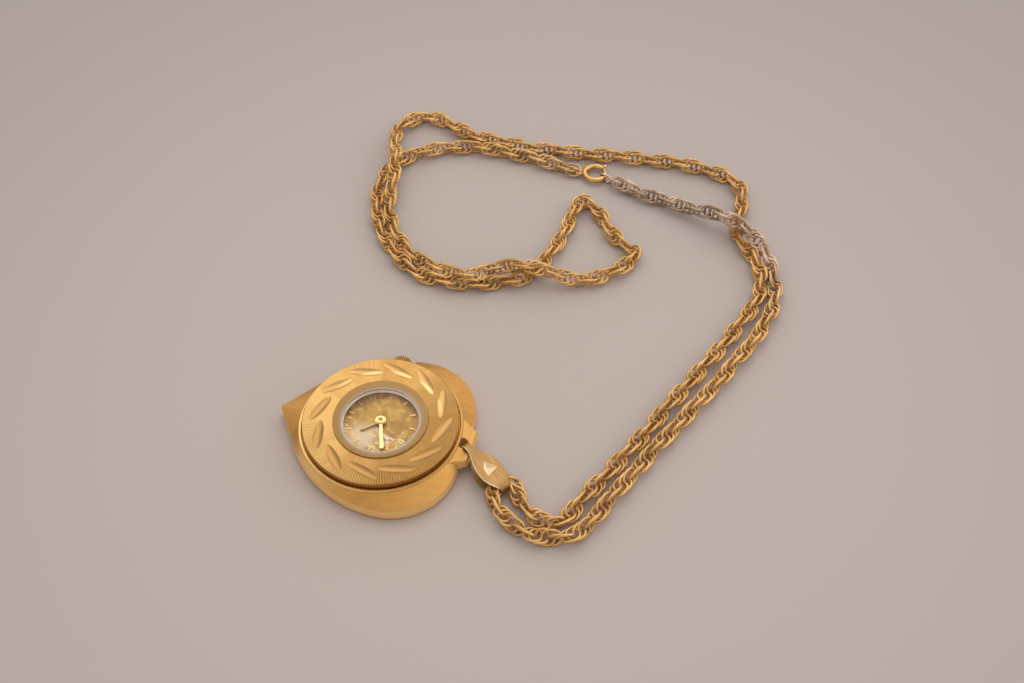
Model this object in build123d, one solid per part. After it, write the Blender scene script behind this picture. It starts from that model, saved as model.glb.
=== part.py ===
from build123d import *
import math
import os

# A heart-shaped pendant watch with its rope chain, lying on its back on a flat surface.
# Millimetres. +Z points out of the dial, the origin is on the dial's axis in the plane of the
# case back, and +X points to the lug that carries the bail.

# Shared by all pieces
overrun = 5.0
seat_gap = 0.05

# Heart outline: a straight flank from the tip, a long flank arc and a lobe arc on each side
tip_reach = 19.35
flank_slope = 54.2
shoulder_x = 4.1
half_width = 16.75
lobe_radius = 11.4
cleft_drop = 0.4
cleft_x = shoulder_x + lobe_radius - cleft_drop

# Case
case_edge_height = 2.5
land_height = 3.9
back_bevel = 0.4
case_wall = 1.2
pocket_depth = 1.3
case_bore_radius = 9.95
boss_wall = 1.05
lip_radius = 9.0
lip_depth = 0.5
cover_thickness = 0.5
cover_rim = 0.9

# Collar and engraved plate
collar_width = 0.55
collar_gap = 0.15
collar_height = 0.3
collar_bevel = 0.1
plate_bore_radius = 8.55
plate_width = 5.45
plate_radius = plate_bore_radius + plate_width
plate_thickness = 1.3
plate_foot_height = 0.25
plate_foot_inset = 0.4
plate_bevel = 0.15
leaf_count = 12
leaf_length_share = 1.2
leaf_width = 1.8
leaf_depth = 0.28
leaf_tilt = 20.0
leaf_turn = 3.0
rib_count = 120
rib_depth = 0.12
rib_inset = 0.3
land_radius = plate_radius + collar_gap + collar_width

# Crystal and the bright ring inside it
crystal_wall = 1.1
crystal_edge_height = 1.45
crystal_rise = 0.85
crystal_thickness = 0.8
bright_ring_width = 0.65
bright_ring_lip = 0.12

# Dial, markers and hands
dial_radius = 8.4
dial_thickness = 0.35
dial_hole_radius = 0.85
dial_turn = 180.0
marker_count = 12
marker_outer_radius = 6.3
marker_length = 1.0
marker_width = 0.34
twelve_marker_turn = 6.0
marker_height = 0.12
hand_thickness = 0.15
hour_hand_angle = 222.8
hour_hand_length = 4.0
hour_hand_width = 0.55
hour_hand_lift = 0.25
minute_hand_angle = 291.0
minute_hand_length = 6.2
minute_hand_width = 0.75
minute_hand_lift = 0.55
hand_hub_radius = 0.95
hub_cap_height = 0.25

# Lug
lug_root_depth = 1.5
lug_reach = 2.0
lug_root_x = cleft_x - lug_root_depth
lug_end_x = cleft_x + lug_reach
lug_root_half_width = 5.1
lug_end_half_width = 3.0
lug_root_low = 1.2
lug_bar_low = 1.5
lug_bar_high = 3.5
lug_slope_length = 1.3
lug_bar_width = 0.9
lug_slope_end_x = lug_end_x - lug_bar_width
lug_slope_start_x = lug_slope_end_x - lug_slope_length
lug_corner_radius = 0.9
lug_bar_bevel = 0.3
lug_hole_radius = 1.1
lug_hole_land = 0.8
lug_hole_x = lug_end_x - lug_hole_land - lug_hole_radius

# Bail: a folded strip that goes round the lug's bar and round the chain
bail_hinge_inset = 0.49
bail_hinge_x = lug_end_x - bail_hinge_inset
bail_hinge_y = -0.915
bail_hinge_z = (lug_bar_low + lug_bar_high) / 2
bail_yaw = -33.0
bail_strip = 0.3
bail_lug_radius = 1.82
bail_length = 8.6
bail_fold_radius = 1.35
bail_fold_drop = 0.65
bail_waist_half_width = 0.7
bail_bar_u = 1.2
bail_bar_half_width = 0.88
bail_shoulder_u = 3.3
bail_shoulder_half_width = 1.85
bail_wide_half_width = 2.25
bail_end_half_width = 0.85
bail_end_slope = 0.6
bail_wide_u = 5.0
bail_cut_depth = 0.2
bail_cut_lift = 0.1
bail_cut_start_u = 3.75
bail_cut_start_v = 0.25
bail_cut_left_u = 4.85
bail_cut_left_v = -0.75
bail_cut_end_u = 6.45
bail_cut_end_v = -1.05
bail_cut_right_u = 6.05
bail_cut_right_v = 1.4
bail_cut_deep_u = 5.15
bail_cut_deep_v = -0.25

# Movement, laid out with its stem along +Y and then turned to the crown
stem_turn = 5.0
stem_height = 2.2
movement_radius = 8.6
main_plate_low = 2.75
main_plate_thickness = 1.2
motion_recess_radius = 8.0
motion_recess_depth = 0.4
holder_gap = 0.05
holder_low = 2.2
bridge_low = 1.05
bridge_thickness = 0.7
bridge_edge_gap = 0.05
bridge_foot_width = 0.85
barrel_bridge_start = 72.0
barrel_bridge_end = 215.0
train_bridge_start = 232.0
train_bridge_end = 345.0
train_bridge_bore = 1.25
centre_boss_radius = 1.1
arbor_radius = 0.13
running_gap = 0.03
centre_arbor_radius = 0.22

# Going train
wheel_thickness = 0.18
barrel_teeth = 78
centre_pinion_teeth = 12
barrel_tooth_size = 0.084
barrel_angle = 150.0
barrel_low = 1.8
barrel_height = 0.62
barrel_rim = 0.24
barrel_wall = 0.16
barrel_arbor_radius = 0.6
centre_wheel_teeth = 64
third_pinion_teeth = 8
centre_tooth_size = 0.075
centre_wheel_low = 2.5
third_angle = 280.0
third_wheel_teeth = 60
fourth_pinion_teeth = 8
third_tooth_size = 0.07
third_wheel_low = 1.86
fourth_angle = 330.0
fourth_wheel_teeth = 70
escape_pinion_teeth = 7
fourth_tooth_size = 0.055
fourth_wheel_low = 2.32
escape_angle = 35.0
escape_teeth = 15
escape_radius = 1.3
escape_tooth_depth = 0.3
escape_wheel_low = 1.96
pinion_reach = 0.06

# Escapement and balance
pallet_angle = 75.0
pallet_distance = 1.501
pallet_arm_width = 0.3
pallet_stone_gap = 0.06
fork_reach = 1.6
fork_width = 0.26
fork_prong_length = 0.12
pallet_bridge_thickness = 0.13
pallet_bridge_reach = 1.8
pallet_bridge_width = 0.9
pallet_arm_length = 0.9
balance_distance = 2.05
balance_radius = 2.9
balance_rim_width = 0.35
balance_low = 1.3
balance_thickness = 0.36
balance_arm_width = 0.4
roller_radius = 0.32
roller_thickness = 0.16
hairspring_low = 1.06
hairspring_height = 0.14
hairspring_outer = 1.35
hairspring_inner = 0.3
cock_low = 0.72
cock_thickness = 0.3
cock_foot_x = 3.9
cock_foot_y = 6.6
cock_foot_radius = 0.85
cock_end_radius = 1.0

# Winding and setting work
winding_wheel_low = 0.7
winding_wheel_thickness = 0.3
ratchet_teeth = 36
crown_wheel_teeth = 24
winding_tooth_size = 0.128
click_length = 1.5
click_radius = 0.3
click_nose_radius = 0.12
click_angle = 250.0
click_gap = 0.06
click_swing = 62.0
pinion_inner_y = 4.95
winding_pinion_length = 0.75
winding_pinion_radius = 1.1
winding_pinion_teeth = 16
clutch_gap = 0.9
clutch_length = 0.75
clutch_radius = 0.9
clutch_groove_depth = 0.22
clutch_groove_width = 0.25
stem_radius = 0.42
stem_inner_y = 4.6
stem_groove_y = 7.75
stem_groove_width = 0.55
stem_groove_depth = 0.17
sleeve_gap = 0.04
winding_slot_half_width = 1.3
winding_slot_height = 0.65
stem_slot_half_width = 0.55
lever_pivot_x = 2.1
lever_pivot_y = 6.2
lever_thickness = 0.16
lever_lift = 0.06
lever_radius = 0.5
lever_post_radius = 0.13
lever_slot_reach = 0.75
crown_radius = 1.8
crown_gap = 0.1
crown_length = 1.4
crown_flutes = 28
crown_flute_depth = 0.14
crown_bevel = 0.2
crown_notch_width = 5.0
crown_notch_gap = 0.05
crown_notch_reach = land_radius + crown_notch_gap
crown_inner_reach = crown_notch_reach + crown_gap
crown_hole_gap = 0.15

# Motion works under the dial
motion_wheel_thickness = 0.13
cannon_teeth = 12
minute_wheel_teeth = 36
motion_tooth_size = 0.09
minute_pinion_teeth = 10
hour_wheel_teeth = 40
minute_wheel_angle = 20.0
cannon_wall = 0.16
hour_pipe_wall = 0.14
motion_layer_gap = 0.05

# Screws and jewels
screw_head_radius = 0.36
screw_head_height = 0.18
screw_shank_radius = 0.18
screw_slot_width = 0.1
screw_gap = 0.03
screw_inset = 0.42
jewel_radius = 0.3
jewel_thickness = 0.22
screw_angle_shares = [0.22, 0.8]
wheel_hole_share = 0.2
wheel_hole_place_share = 0.58
wheel_hole_count = 5

# Spring ring clasp and its jump rings
clasp_x = 21.3
clasp_y = 78.3
clasp_wire = 1.15
clasp_outer_radius = 2.8
clasp_gap_start = 2.5
clasp_gap_sweep = 50.0
clasp_bore_radius = 0.33
clasp_bore_sweep = 110.0
trigger_radius = 0.28
trigger_seat_sweep = 8.0
trigger_tail_sweep = 30.0
trigger_travel = 35.0
trigger_nub_radius = 0.32
trigger_nub_height = 1.2
trigger_slot_gap = 0.05
clasp_spring_radius = 0.2
clasp_spring_inner = 0.1
clasp_spring_sweep = 38.0
clasp_spring_gap = 2.0
eye_angle = 187.0
eye_radius = 0.75
eye_wire = 0.42
jump_wire = 0.42
jump_ring_radius = 0.75
jump_link_half_length = 1.45
jump_link_half_width = 0.87

# Chain: centre line of the rope, resting on the surface, with a hump where it crosses itself
chain_diameter = 3.0
span_diameter = 1.0
arc_share = 0.45
chain_rest = 1.5
chain_over = 4.9
long_route = [
    (26.9, -6.5, chain_rest), (29.3, -9.5, chain_rest), (32.9, -10.9, chain_rest),
    (36.3, -9.1, chain_rest), (38.4, -3.6, chain_rest), (43.2, 7.0, chain_rest),
    (50.0, 24.0, chain_rest), (57.4, 40.6, chain_rest), (61.6, 54.4, chain_rest),
    (57.4, 62.8, chain_rest), (51.9, 67.4, chain_rest), (54.0, 74.4, chain_rest),
    (53.9, 81.2, chain_rest), (49.0, 85.9, chain_rest), (41.0, 87.5, chain_rest),
    (28.5, 86.0, chain_rest), (14.0, 82.9, chain_rest), (1.5, 82.4, chain_rest),
    (-9.0, 84.2, chain_rest), (-19.2, 88.2, chain_rest), (-25.6, 82.6, chain_rest),
    (-24.0, 74.6, chain_over), (-20.6, 66.4, chain_over), (-19.2, 58.0, chain_rest),
    (-14.6, 48.5, chain_rest), (-6.0, 41.5, chain_rest), (3.2, 41.6, chain_rest),
    (9.2, 45.6, chain_rest), (14.2, 45.6, chain_over), (19.2, 44.0, chain_over),
    (25.2, 44.2, chain_rest), (32.2, 48.6, chain_rest), (35.8, 55.4, chain_rest),
    (34.4, 60.2, chain_rest), (28.9, 60.7, chain_rest), (26.2, 64.6, chain_rest),
    (24.4, 69.9, chain_rest), (19.5, 69.2, chain_rest), (19.6, 62.6, chain_rest),
    (18.8, 54.6, chain_rest), (15.4, 45.0, chain_rest), (9.8, 40.2, chain_rest),
    (2.0, 38.3, chain_rest), (-6.4, 37.5, chain_rest), (-14.8, 43.4, chain_rest),
    (-21.6, 52.6, chain_rest), (-23.8, 61.5, chain_rest), (-23.5, 69.8, chain_rest),
    (-18.0, 74.2, chain_rest), (-11.4, 78.3, chain_rest), (-3.0, 79.8, chain_rest),
    (6.0, 78.6, chain_rest), (11.0, 77.5, chain_rest), (15.8, 77.6, chain_rest),
]
short_route = [
    (26.0, 76.6, chain_rest), (31.6, 75.6, chain_rest), (40.4, 73.0, chain_rest),
    (48.6, 68.4, chain_over), (56.2, 67.0, chain_over), (61.9, 62.6, chain_rest),
    (64.7, 54.2, chain_rest), (63.2, 45.0, chain_rest), (56.2, 27.8, chain_rest),
    (48.4, 11.0, chain_rest), (43.4, -1.4, chain_rest), (41.1, -7.6, chain_rest),
    (38.7, -12.0, chain_rest), (34.4, -14.0, chain_rest), (29.2, -13.6, chain_rest),
    (25.0, -11.2, chain_rest), (22.7, -8.0, chain_rest),
]
span_route = [
    (22.52, -7.76, 1.5), (22.55, -7.1, 1.6), (22.95, -6.5, 1.8), (23.6, -5.45, 1.85),
    (24.25, -4.4, 1.85), (25.05, -3.85, 1.8), (25.85, -4.0, 1.7), (26.35, -4.7, 1.6),
    (26.55, -5.5, 1.55), (26.71, -6.27, 1.5),
]


def polar(radius, angle):
    """A point at a radius and an angle in degrees."""
    return (radius * math.cos(math.radians(angle)), radius * math.sin(math.radians(angle)))


def shifted(point, radius, angle):
    """A point at a distance and a direction from another one."""
    step = polar(radius, angle)
    return (point[0] + step[0], point[1] + step[1])


def disc(radius, low, high, centre=(0, 0)):
    """A solid disc between two heights."""
    return Pos(centre[0], centre[1], low) * extrude(Circle(radius), high - low)


def ring(outer, inner, low, high, centre=(0, 0)):
    """A solid ring between two heights."""
    return Pos(centre[0], centre[1], low) * extrude(Circle(outer) - Circle(inner), high - low)


def block(size_x, size_y, low, high, centre=(0, 0)):
    """A rectangular block between two heights."""
    return Pos(centre[0], centre[1], low) * extrude(Rectangle(size_x, size_y), high - low)


def spun(points, arcs=None):
    """A solid turned about the Z axis from radius and height pairs, some joined by arcs."""
    arcs = arcs or {}
    edges = []
    for index, start in enumerate(points):
        end = points[(index + 1) % len(points)]
        if index in arcs:
            edges.append(ThreePointArc(start, arcs[index], end))
        else:
            edges.append(Line(start, end))
    return revolve(Plane.XZ * make_face(edges), Axis.Z)


def hull_face(radius_a, centre_b, radius_b):
    """The outline round a circle at the origin and another circle."""
    distance = math.hypot(centre_b[0], centre_b[1])
    bearing = math.degrees(math.atan2(centre_b[1], centre_b[0]))
    lean = math.degrees(math.acos((radius_a - radius_b) / distance))
    upper, lower = bearing + lean, bearing - lean
    edges = [
        Line(polar(radius_a, upper), shifted(centre_b, radius_b, upper)),
        CenterArc(centre_b, radius_b, upper, -2 * lean),
        Line(shifted(centre_b, radius_b, lower), polar(radius_a, lower)),
        CenterArc((0, 0), radius_a, lower, 2 * lean - 360),
    ]
    return make_face(edges)


def link_plate(centre_a, radius_a, centre_b, radius_b, low, high):
    """A flat plate round two circles."""
    offset = (centre_b[0] - centre_a[0], centre_b[1] - centre_a[1])
    return Pos(centre_a[0], centre_a[1], low) * extrude(hull_face(radius_a, offset, radius_b), high - low)


def gear_points(teeth, tooth_size, phase, depth_below=1.2, depth_above=0.9):
    """Outline of simplified straight-sided teeth, one of them centred on the phase angle."""
    root_radius = tooth_size * (teeth / 2 - depth_below)
    tip_radius = tooth_size * (teeth / 2 + depth_above)
    pitch = 360 / teeth
    root_half_share, tip_half_share = 0.33, 0.11
    points = []
    for index in range(teeth):
        middle = phase + index * pitch
        points.append(polar(root_radius, middle - pitch * root_half_share))
        points.append(polar(tip_radius, middle - pitch * tip_half_share))
        points.append(polar(tip_radius, middle + pitch * tip_half_share))
        points.append(polar(root_radius, middle + pitch * root_half_share))
    return points


def gear(teeth, tooth_size, phase, low, high):
    """A toothed disc about the Z axis."""
    face = make_face(Polyline(*gear_points(teeth, tooth_size, phase), close=True))
    return Pos(0, 0, low) * extrude(face, high - low)


def mesh_phase(teeth, bearing):
    """The phase that puts a tooth gap on a bearing."""
    return bearing + 180 / teeth


def lightened(wheel, radius, low, high):
    """A wheel with round holes between its rim and its hub."""
    for index in range(wheel_hole_count):
        spot = polar(radius * wheel_hole_place_share, index * 360 / wheel_hole_count)
        wheel -= disc(radius * wheel_hole_share, low - overrun, high + overrun, spot)
    return wheel


def heart_edges(inset):
    """The heart outline moved inward, as edges in order, with its corner points."""
    slope = math.radians(flank_slope)
    run = tip_reach + shoulder_x
    flank_radius = (run * math.sin(slope) - half_width * math.cos(slope)) / (1 - math.cos(slope))
    flank = (shoulder_x, half_width - flank_radius)
    lobe_y = half_width - lobe_radius
    joint = shifted(flank, flank_radius - inset, flank_slope + 90)
    tip = (joint[0] - joint[1] / math.tan(slope), 0)
    shoulder = (shoulder_x, half_width - inset)
    notch_x = cleft_x - inset
    lobe = lobe_radius - inset
    notch = (notch_x, lobe_y - math.sqrt(lobe ** 2 - (notch_x - shoulder_x) ** 2))
    notch_angle = math.degrees(math.atan2(notch[1] - lobe_y, notch[0] - shoulder_x))
    upper = [
        Line(tip, joint),
        CenterArc(flank, flank_radius - inset, flank_slope + 90, -flank_slope),
        CenterArc((shoulder_x, lobe_y), lobe, 90, notch_angle - 90),
    ]
    upper = [line.edge() for line in upper]
    lower = [edge.mirror(Plane.XZ) for edge in reversed(upper)]
    cleft = Line(notch, (notch[0], -notch[1])).edge()
    return upper + [cleft] + lower, [tip, joint, shoulder, notch]


def heart_wire(inset, height):
    """The closed heart outline at a height."""
    edges, corners = heart_edges(inset)
    return Wire(edges).moved(Location((0, 0, height)))


def heart_prism(inset, low, high):
    """A heart-shaped block between two heights."""
    edges, corners = heart_edges(inset)
    return Pos(0, 0, low) * extrude(make_face(edges), high - low)


def land_wire():
    """The round top edge of the case, split where the heart outline has its corners."""
    edges, corners = heart_edges(0)
    angles = [180] + [math.degrees(math.atan2(y, x)) for x, y in corners[1:]]
    angles += [-angle for angle in reversed(angles)]
    arcs = []
    for start, end in zip(angles[:-1], angles[1:]):
        arcs.append(CenterArc((0, 0), land_radius, start, end - start).edge())
    return Wire(arcs).moved(Location((0, 0, land_height)))


def along_stem(shape):
    """Turn a shape built about the Z axis so that its height runs along the stem."""
    return Pos(0, 0, stem_height) * Rot(-90, 0, 0) * shape


def turned(shape):
    """Turn the movement so that its stem points at the crown."""
    return Rot(0, 0, stem_turn) * shape


def lug_outline():
    """Plan of the lug, from its root in the case to its bar."""
    points = [
        (lug_root_x, lug_root_half_width), (lug_end_x, lug_end_half_width),
        (lug_end_x, -lug_end_half_width), (lug_root_x, -lug_root_half_width),
    ]
    return make_face(Polyline(*points, close=True))


def make_lug():
    """The tab with the round hole for the bail."""
    plan = extrude(lug_outline(), land_height)
    outer = [edge for edge in plan.edges().filter_by(Axis.Z) if edge.center().X > lug_slope_end_x]
    plan = fillet(outer, lug_corner_radius)
    nose_x = lug_end_x - lug_bar_bevel
    side = [
        (lug_root_x, lug_root_low), (lug_root_x, land_height), (lug_slope_start_x, land_height),
        (lug_slope_end_x, lug_bar_high), (nose_x, lug_bar_high),
        (lug_end_x, lug_bar_high - lug_bar_bevel), (lug_end_x, lug_bar_low + lug_bar_bevel),
        (nose_x, lug_bar_low), (lug_slope_end_x, lug_bar_low), (lug_slope_start_x, lug_root_low),
    ]
    profile = Plane.XZ * make_face(Polyline(*side, close=True))
    body = plan & extrude(profile, lug_root_half_width + overrun, both=True)
    return body - disc(lug_hole_radius, -overrun, land_height + overrun, (lug_hole_x, 0))


def crown_block(low, high, half_width, reach_from, reach_to):
    """A block about the stem's line, between two distances from the dial's axis."""
    middle = (reach_from + reach_to) / 2
    return turned(block(2 * half_width, reach_to - reach_from, low, high, (0, middle)))


def make_case():
    """The heart-shaped case with its bore, pockets, crown notch and seat for the lug."""
    case = Solid.make_loft([heart_wire(back_bevel, 0), heart_wire(0, back_bevel)], ruled=True)
    case += heart_prism(0, back_bevel, case_edge_height)
    case += Solid.make_loft([heart_wire(0, case_edge_height), land_wire()], ruled=True)
    case -= heart_prism(cover_rim, -overrun, cover_thickness)
    boss_radius = case_bore_radius + boss_wall
    pocket_high = cover_thickness + pocket_depth
    pocket = heart_prism(case_wall, cover_thickness, pocket_high)
    pocket -= disc(boss_radius, 0, land_height)
    guard_half = crown_notch_width / 2 + case_wall
    pocket -= crown_block(0, land_height, guard_half, 0, tip_reach)
    guard_x = lug_root_x - case_wall
    pocket -= block(lug_end_x, 2 * (lug_root_half_width + case_wall), 0, land_height, (guard_x + lug_end_x / 2, 0))
    case -= pocket
    case -= disc(case_bore_radius, cover_thickness, land_height - lip_depth)
    case -= disc(lip_radius, cover_thickness, land_height + overrun)
    case -= crown_block(-overrun, land_height + overrun, crown_notch_width / 2, crown_notch_reach, tip_reach)
    stem_hole = Pos(0, 0, lip_radius) * extrude(Circle(stem_radius + crown_hole_gap), crown_notch_reach)
    case -= turned(along_stem(stem_hole))
    case -= Pos(0, 0, lug_root_low) * extrude(lug_outline(), land_height)
    case -= disc(lug_hole_radius, -overrun, land_height + overrun, (lug_hole_x, 0))
    return case


def make_cover():
    """The flat back that closes the case, with room for the crown and for the bail's hole."""
    cover = heart_prism(cover_rim + seat_gap, 0, cover_thickness)
    notch = crown_notch_width / 2 + case_wall
    cover -= crown_block(-overrun, overrun, notch, crown_notch_reach - case_wall, tip_reach)
    reach = lug_hole_x - lug_hole_radius - case_wall
    cover -= block(lug_end_x, lug_root_half_width, -overrun, overrun, (reach + lug_end_x / 2, 0))
    return cover


def make_collar():
    """The thin bright rim round the engraved plate."""
    collar = ring(land_radius, land_radius - collar_width, land_height, land_height + collar_height)
    return chamfer(collar.edges().group_by(Axis.Z)[-1], collar_bevel)


def rib_grooves(low, high):
    """The grooves between the ribs round the plate's rim."""
    points = []
    for index in range(rib_count):
        angle = index * 360 / rib_count
        points.append(polar(plate_radius, angle))
        points.append(polar(plate_radius - rib_depth, angle + 180 / rib_count))
    ribbed = extrude(make_face(Polyline(*points, close=True)), high - low)
    return ring(plate_radius + overrun, plate_radius - 2 * rib_depth, low, high) - Pos(0, 0, low) * ribbed


def make_engraved_plate():
    """The thick ring round the dial, with leaf cuts on its face and ribs on its rim."""
    low = land_height + plate_foot_height
    high = low + plate_thickness
    profile = [
        (plate_bore_radius, low), (plate_bore_radius, high), (plate_radius - plate_bevel, high),
        (plate_radius, high - plate_bevel), (plate_radius, low + plate_bevel),
        (plate_radius - plate_bevel, low),
    ]
    plate = spun(profile)
    plate -= rib_grooves(low + rib_inset, high - rib_inset)
    foot_inner = plate_bore_radius + plate_foot_height
    plate += ring(plate_radius - plate_foot_inset, foot_inner, land_height, low)
    scoop = (leaf_width ** 2 / 4 + leaf_depth ** 2) / (2 * leaf_depth)
    lift = scoop - leaf_depth
    half = plate_width * leaf_length_share / 2
    outline = make_face([
        ThreePointArc((-half, lift), (0, scoop), (half, lift)),
        Line((half, lift), (half, 0)), Line((half, 0), (-half, 0)), Line((-half, 0), (-half, lift)),
    ])
    spindle = revolve(outline, Axis.X)
    for index in range(leaf_count):
        angle = leaf_turn + index * 360 / leaf_count
        spot = polar(plate_bore_radius + plate_width / 2, angle)
        plate -= Pos(spot[0], spot[1], high + lift) * Rot(0, 0, angle - 90 - leaf_tilt) * spindle
    return plate


def dome_middle(edge_radius, edge_height, rise):
    """A point halfway along a dome's arc, from its edge to its top on the axis."""
    sphere = (edge_radius ** 2 + rise ** 2) / (2 * rise)
    half = math.asin(edge_radius / sphere) / 2
    return (sphere * math.sin(half), edge_height + rise - sphere + sphere * math.cos(half))


def make_crystal():
    """The domed crystal, pressed into the engraved plate."""
    radius = plate_bore_radius - seat_gap
    inner = radius - crystal_wall
    low = dial_top()
    edge = low + crystal_edge_height
    top = edge + crystal_rise
    inner_edge = edge - crystal_thickness
    points = [(radius, low), (radius, edge), (0, top), (0, top - crystal_thickness), (inner, inner_edge), (inner, low)]
    arcs = {
        1: dome_middle(radius, edge, crystal_rise),
        3: dome_middle(inner, inner_edge, top - crystal_thickness - inner_edge),
    }
    return spun(points, arcs)


def dial_low():
    """Height of the dial's underside, on the main plate's rim."""
    return main_plate_low + main_plate_thickness


def dial_top():
    """Height of the dial's face."""
    return dial_low() + dial_thickness


def make_bright_ring():
    """The bevelled ring inside the crystal's wall."""
    outer = plate_bore_radius - 2 * seat_gap - crystal_wall
    inner = outer - bright_ring_width
    low = dial_top()
    high = low + crystal_edge_height - crystal_thickness - seat_gap
    points = [
        (inner, low), (outer, low), (outer, high - bright_ring_lip), (outer - bright_ring_lip, high),
        (inner, low + bright_ring_lip),
    ]
    return spun(points)


def make_dial():
    """The plain dial with its centre hole."""
    return ring(dial_radius, dial_hole_radius, dial_low(), dial_top())


def make_markers():
    """Plain raised hour markers, with a pair of them at twelve."""
    angles = [dial_turn - twelve_marker_turn, dial_turn + twelve_marker_turn]
    angles += [dial_turn + index * 360 / marker_count for index in range(1, marker_count)]
    markers = []
    for angle in angles:
        spot = polar(marker_outer_radius - marker_length / 2, angle)
        baton = block(marker_length, marker_width, 0, marker_height)
        markers.append(Pos(spot[0], spot[1], dial_top()) * Rot(0, 0, angle) * baton)
    return Compound(children=markers)


def hand(length, width, low, angle, bore):
    """A tapering hand with a round hub."""
    high = low + hand_thickness
    tail = width / 3
    blade = link_plate((0, 0), tail, (length - width / 2, 0), width / 2, low, high)
    blade += disc(hand_hub_radius, low, high)
    blade -= disc(bore, low - overrun, high + overrun)
    return Rot(0, 0, angle) * blade


def hour_pipe_radius():
    """Outer radius of the hour wheel's pipe."""
    return centre_arbor_radius + running_gap + cannon_wall + running_gap + hour_pipe_wall


def make_hour_hand():
    """The hour hand, pressed on the hour wheel's pipe."""
    low = dial_top() + hour_hand_lift
    return hand(hour_hand_length, hour_hand_width, low, hour_hand_angle, hour_pipe_radius())


def make_minute_hand():
    """The minute hand with its capped hub."""
    low = dial_top() + minute_hand_lift
    blade = hand(minute_hand_length, minute_hand_width, low, minute_hand_angle, seat_gap)
    bore = centre_arbor_radius + running_gap + cannon_wall
    blade -= disc(bore, low - overrun, low + hand_thickness)
    top = low + hand_thickness
    blade += disc(hand_hub_radius - cannon_wall, top, top + hub_cap_height)
    return blade


def make_bail_cutter():
    """The slanting facets cut into the face of the bail's strip."""
    reach = math.hypot(bail_length, bail_fold_drop)
    tilt = math.atan2(bail_fold_drop, bail_length) + math.asin((bail_lug_radius - bail_fold_radius) / reach)
    grow = (bail_cut_depth + bail_cut_lift) / bail_cut_depth
    rim = [
        (bail_cut_start_u, bail_cut_start_v), (bail_cut_left_u, bail_cut_left_v),
        (bail_cut_end_u, bail_cut_end_v), (bail_cut_right_u, bail_cut_right_v),
    ]
    spread = [(grow * (u - bail_cut_deep_u), grow * (v - bail_cut_deep_v)) for u, v in rim]
    mouth = make_face(Polyline(*spread, close=True))
    cutter = loft([Pos(0, 0, bail_cut_lift) * mouth, Vertex(0, 0, -bail_cut_depth)])
    from_touch = bail_cut_deep_u - bail_lug_radius * math.sin(tilt)
    face_height = bail_lug_radius * math.cos(tilt) - from_touch * math.tan(tilt)
    return Pos(bail_cut_deep_u, bail_cut_deep_v, face_height) * Rot(0, math.degrees(tilt), 0) * cutter


def make_bail():
    """The strip folded round the lug's bar and round the chain."""
    fold = (bail_length, -bail_fold_drop)
    band = hull_face(bail_lug_radius, fold, bail_fold_radius)
    band -= hull_face(bail_lug_radius - bail_strip, fold, bail_fold_radius - bail_strip)
    solid = extrude(Plane.XZ * band, bail_wide_half_width + overrun, both=True)
    back = -bail_lug_radius - bail_strip
    end = bail_length + bail_fold_radius
    upper = Spline(
        (back, bail_waist_half_width), (bail_bar_u, bail_bar_half_width),
        (bail_shoulder_u, bail_shoulder_half_width), (bail_wide_u, bail_wide_half_width),
        (end, bail_end_half_width), tangents=[(1, 0), (1, -bail_end_slope)],
    )
    lower = mirror(upper, about=Plane.XZ)
    plan = make_face([
        upper, lower,
        Line((back, bail_waist_half_width), (back, -bail_waist_half_width)),
        Line((end, bail_end_half_width), (end, -bail_end_half_width)),
    ])
    deep = bail_lug_radius + bail_fold_drop + overrun
    solid = solid & (Pos(0, 0, -deep) * extrude(plan, 2 * deep))
    solid -= make_bail_cutter()
    return Pos(bail_hinge_x, bail_hinge_y, bail_hinge_z) * Rot(0, 0, bail_yaw) * solid


def barrel_centre():
    """Where the barrel turns."""
    return polar(barrel_tooth_size * (barrel_teeth + centre_pinion_teeth) / 2, barrel_angle)


def third_centre():
    """Where the third wheel turns."""
    return polar(centre_tooth_size * (centre_wheel_teeth + third_pinion_teeth) / 2, third_angle)


def fourth_centre():
    """Where the fourth wheel turns."""
    return shifted(third_centre(), third_tooth_size * (third_wheel_teeth + fourth_pinion_teeth) / 2, fourth_angle)


def escape_centre():
    """Where the escape wheel turns."""
    return shifted(fourth_centre(), fourth_tooth_size * (fourth_wheel_teeth + escape_pinion_teeth) / 2, escape_angle)


def pallet_centre():
    """Where the pallet fork swings."""
    return shifted(escape_centre(), pallet_distance, pallet_angle)


def balance_centre():
    """Where the balance swings."""
    return shifted(pallet_centre(), balance_distance, pallet_angle)


def crown_wheel_centre():
    """Where the crown wheel turns, on the stem's line and in mesh with the ratchet wheel."""
    distance = winding_tooth_size * (ratchet_teeth + crown_wheel_teeth) / 2
    barrel = barrel_centre()
    return (0, barrel[1] + math.sqrt(distance ** 2 - barrel[0] ** 2))


def minute_wheel_centre():
    """Where the minute wheel turns."""
    return polar(motion_tooth_size * (cannon_teeth + minute_wheel_teeth) / 2, minute_wheel_angle)


def bridge_screw_places():
    """Screws that hold the two bridges, near their feet, and the balance cock's screw."""
    reach = movement_radius - bridge_edge_gap - screw_inset
    places = []
    for start, end in ((barrel_bridge_start, barrel_bridge_end), (train_bridge_start, train_bridge_end)):
        for share in screw_angle_shares:
            places.append((polar(reach, start + (end - start) * share), bridge_low))
    places.append(((cock_foot_x, cock_foot_y), cock_low))
    return places


def make_screws():
    """Slotted screws for the bridges and the cock."""
    screws = []
    for spot, face in bridge_screw_places():
        screw = disc(screw_head_radius, face - screw_head_height, face)
        screw -= block(overrun, screw_slot_width, face - overrun, face - screw_head_height / 2)
        screw += disc(screw_shank_radius, face, dial_low() - motion_recess_depth)
        screws.append(turned(Pos(spot[0], spot[1], 0) * screw))
    return Compound(children=screws)


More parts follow.
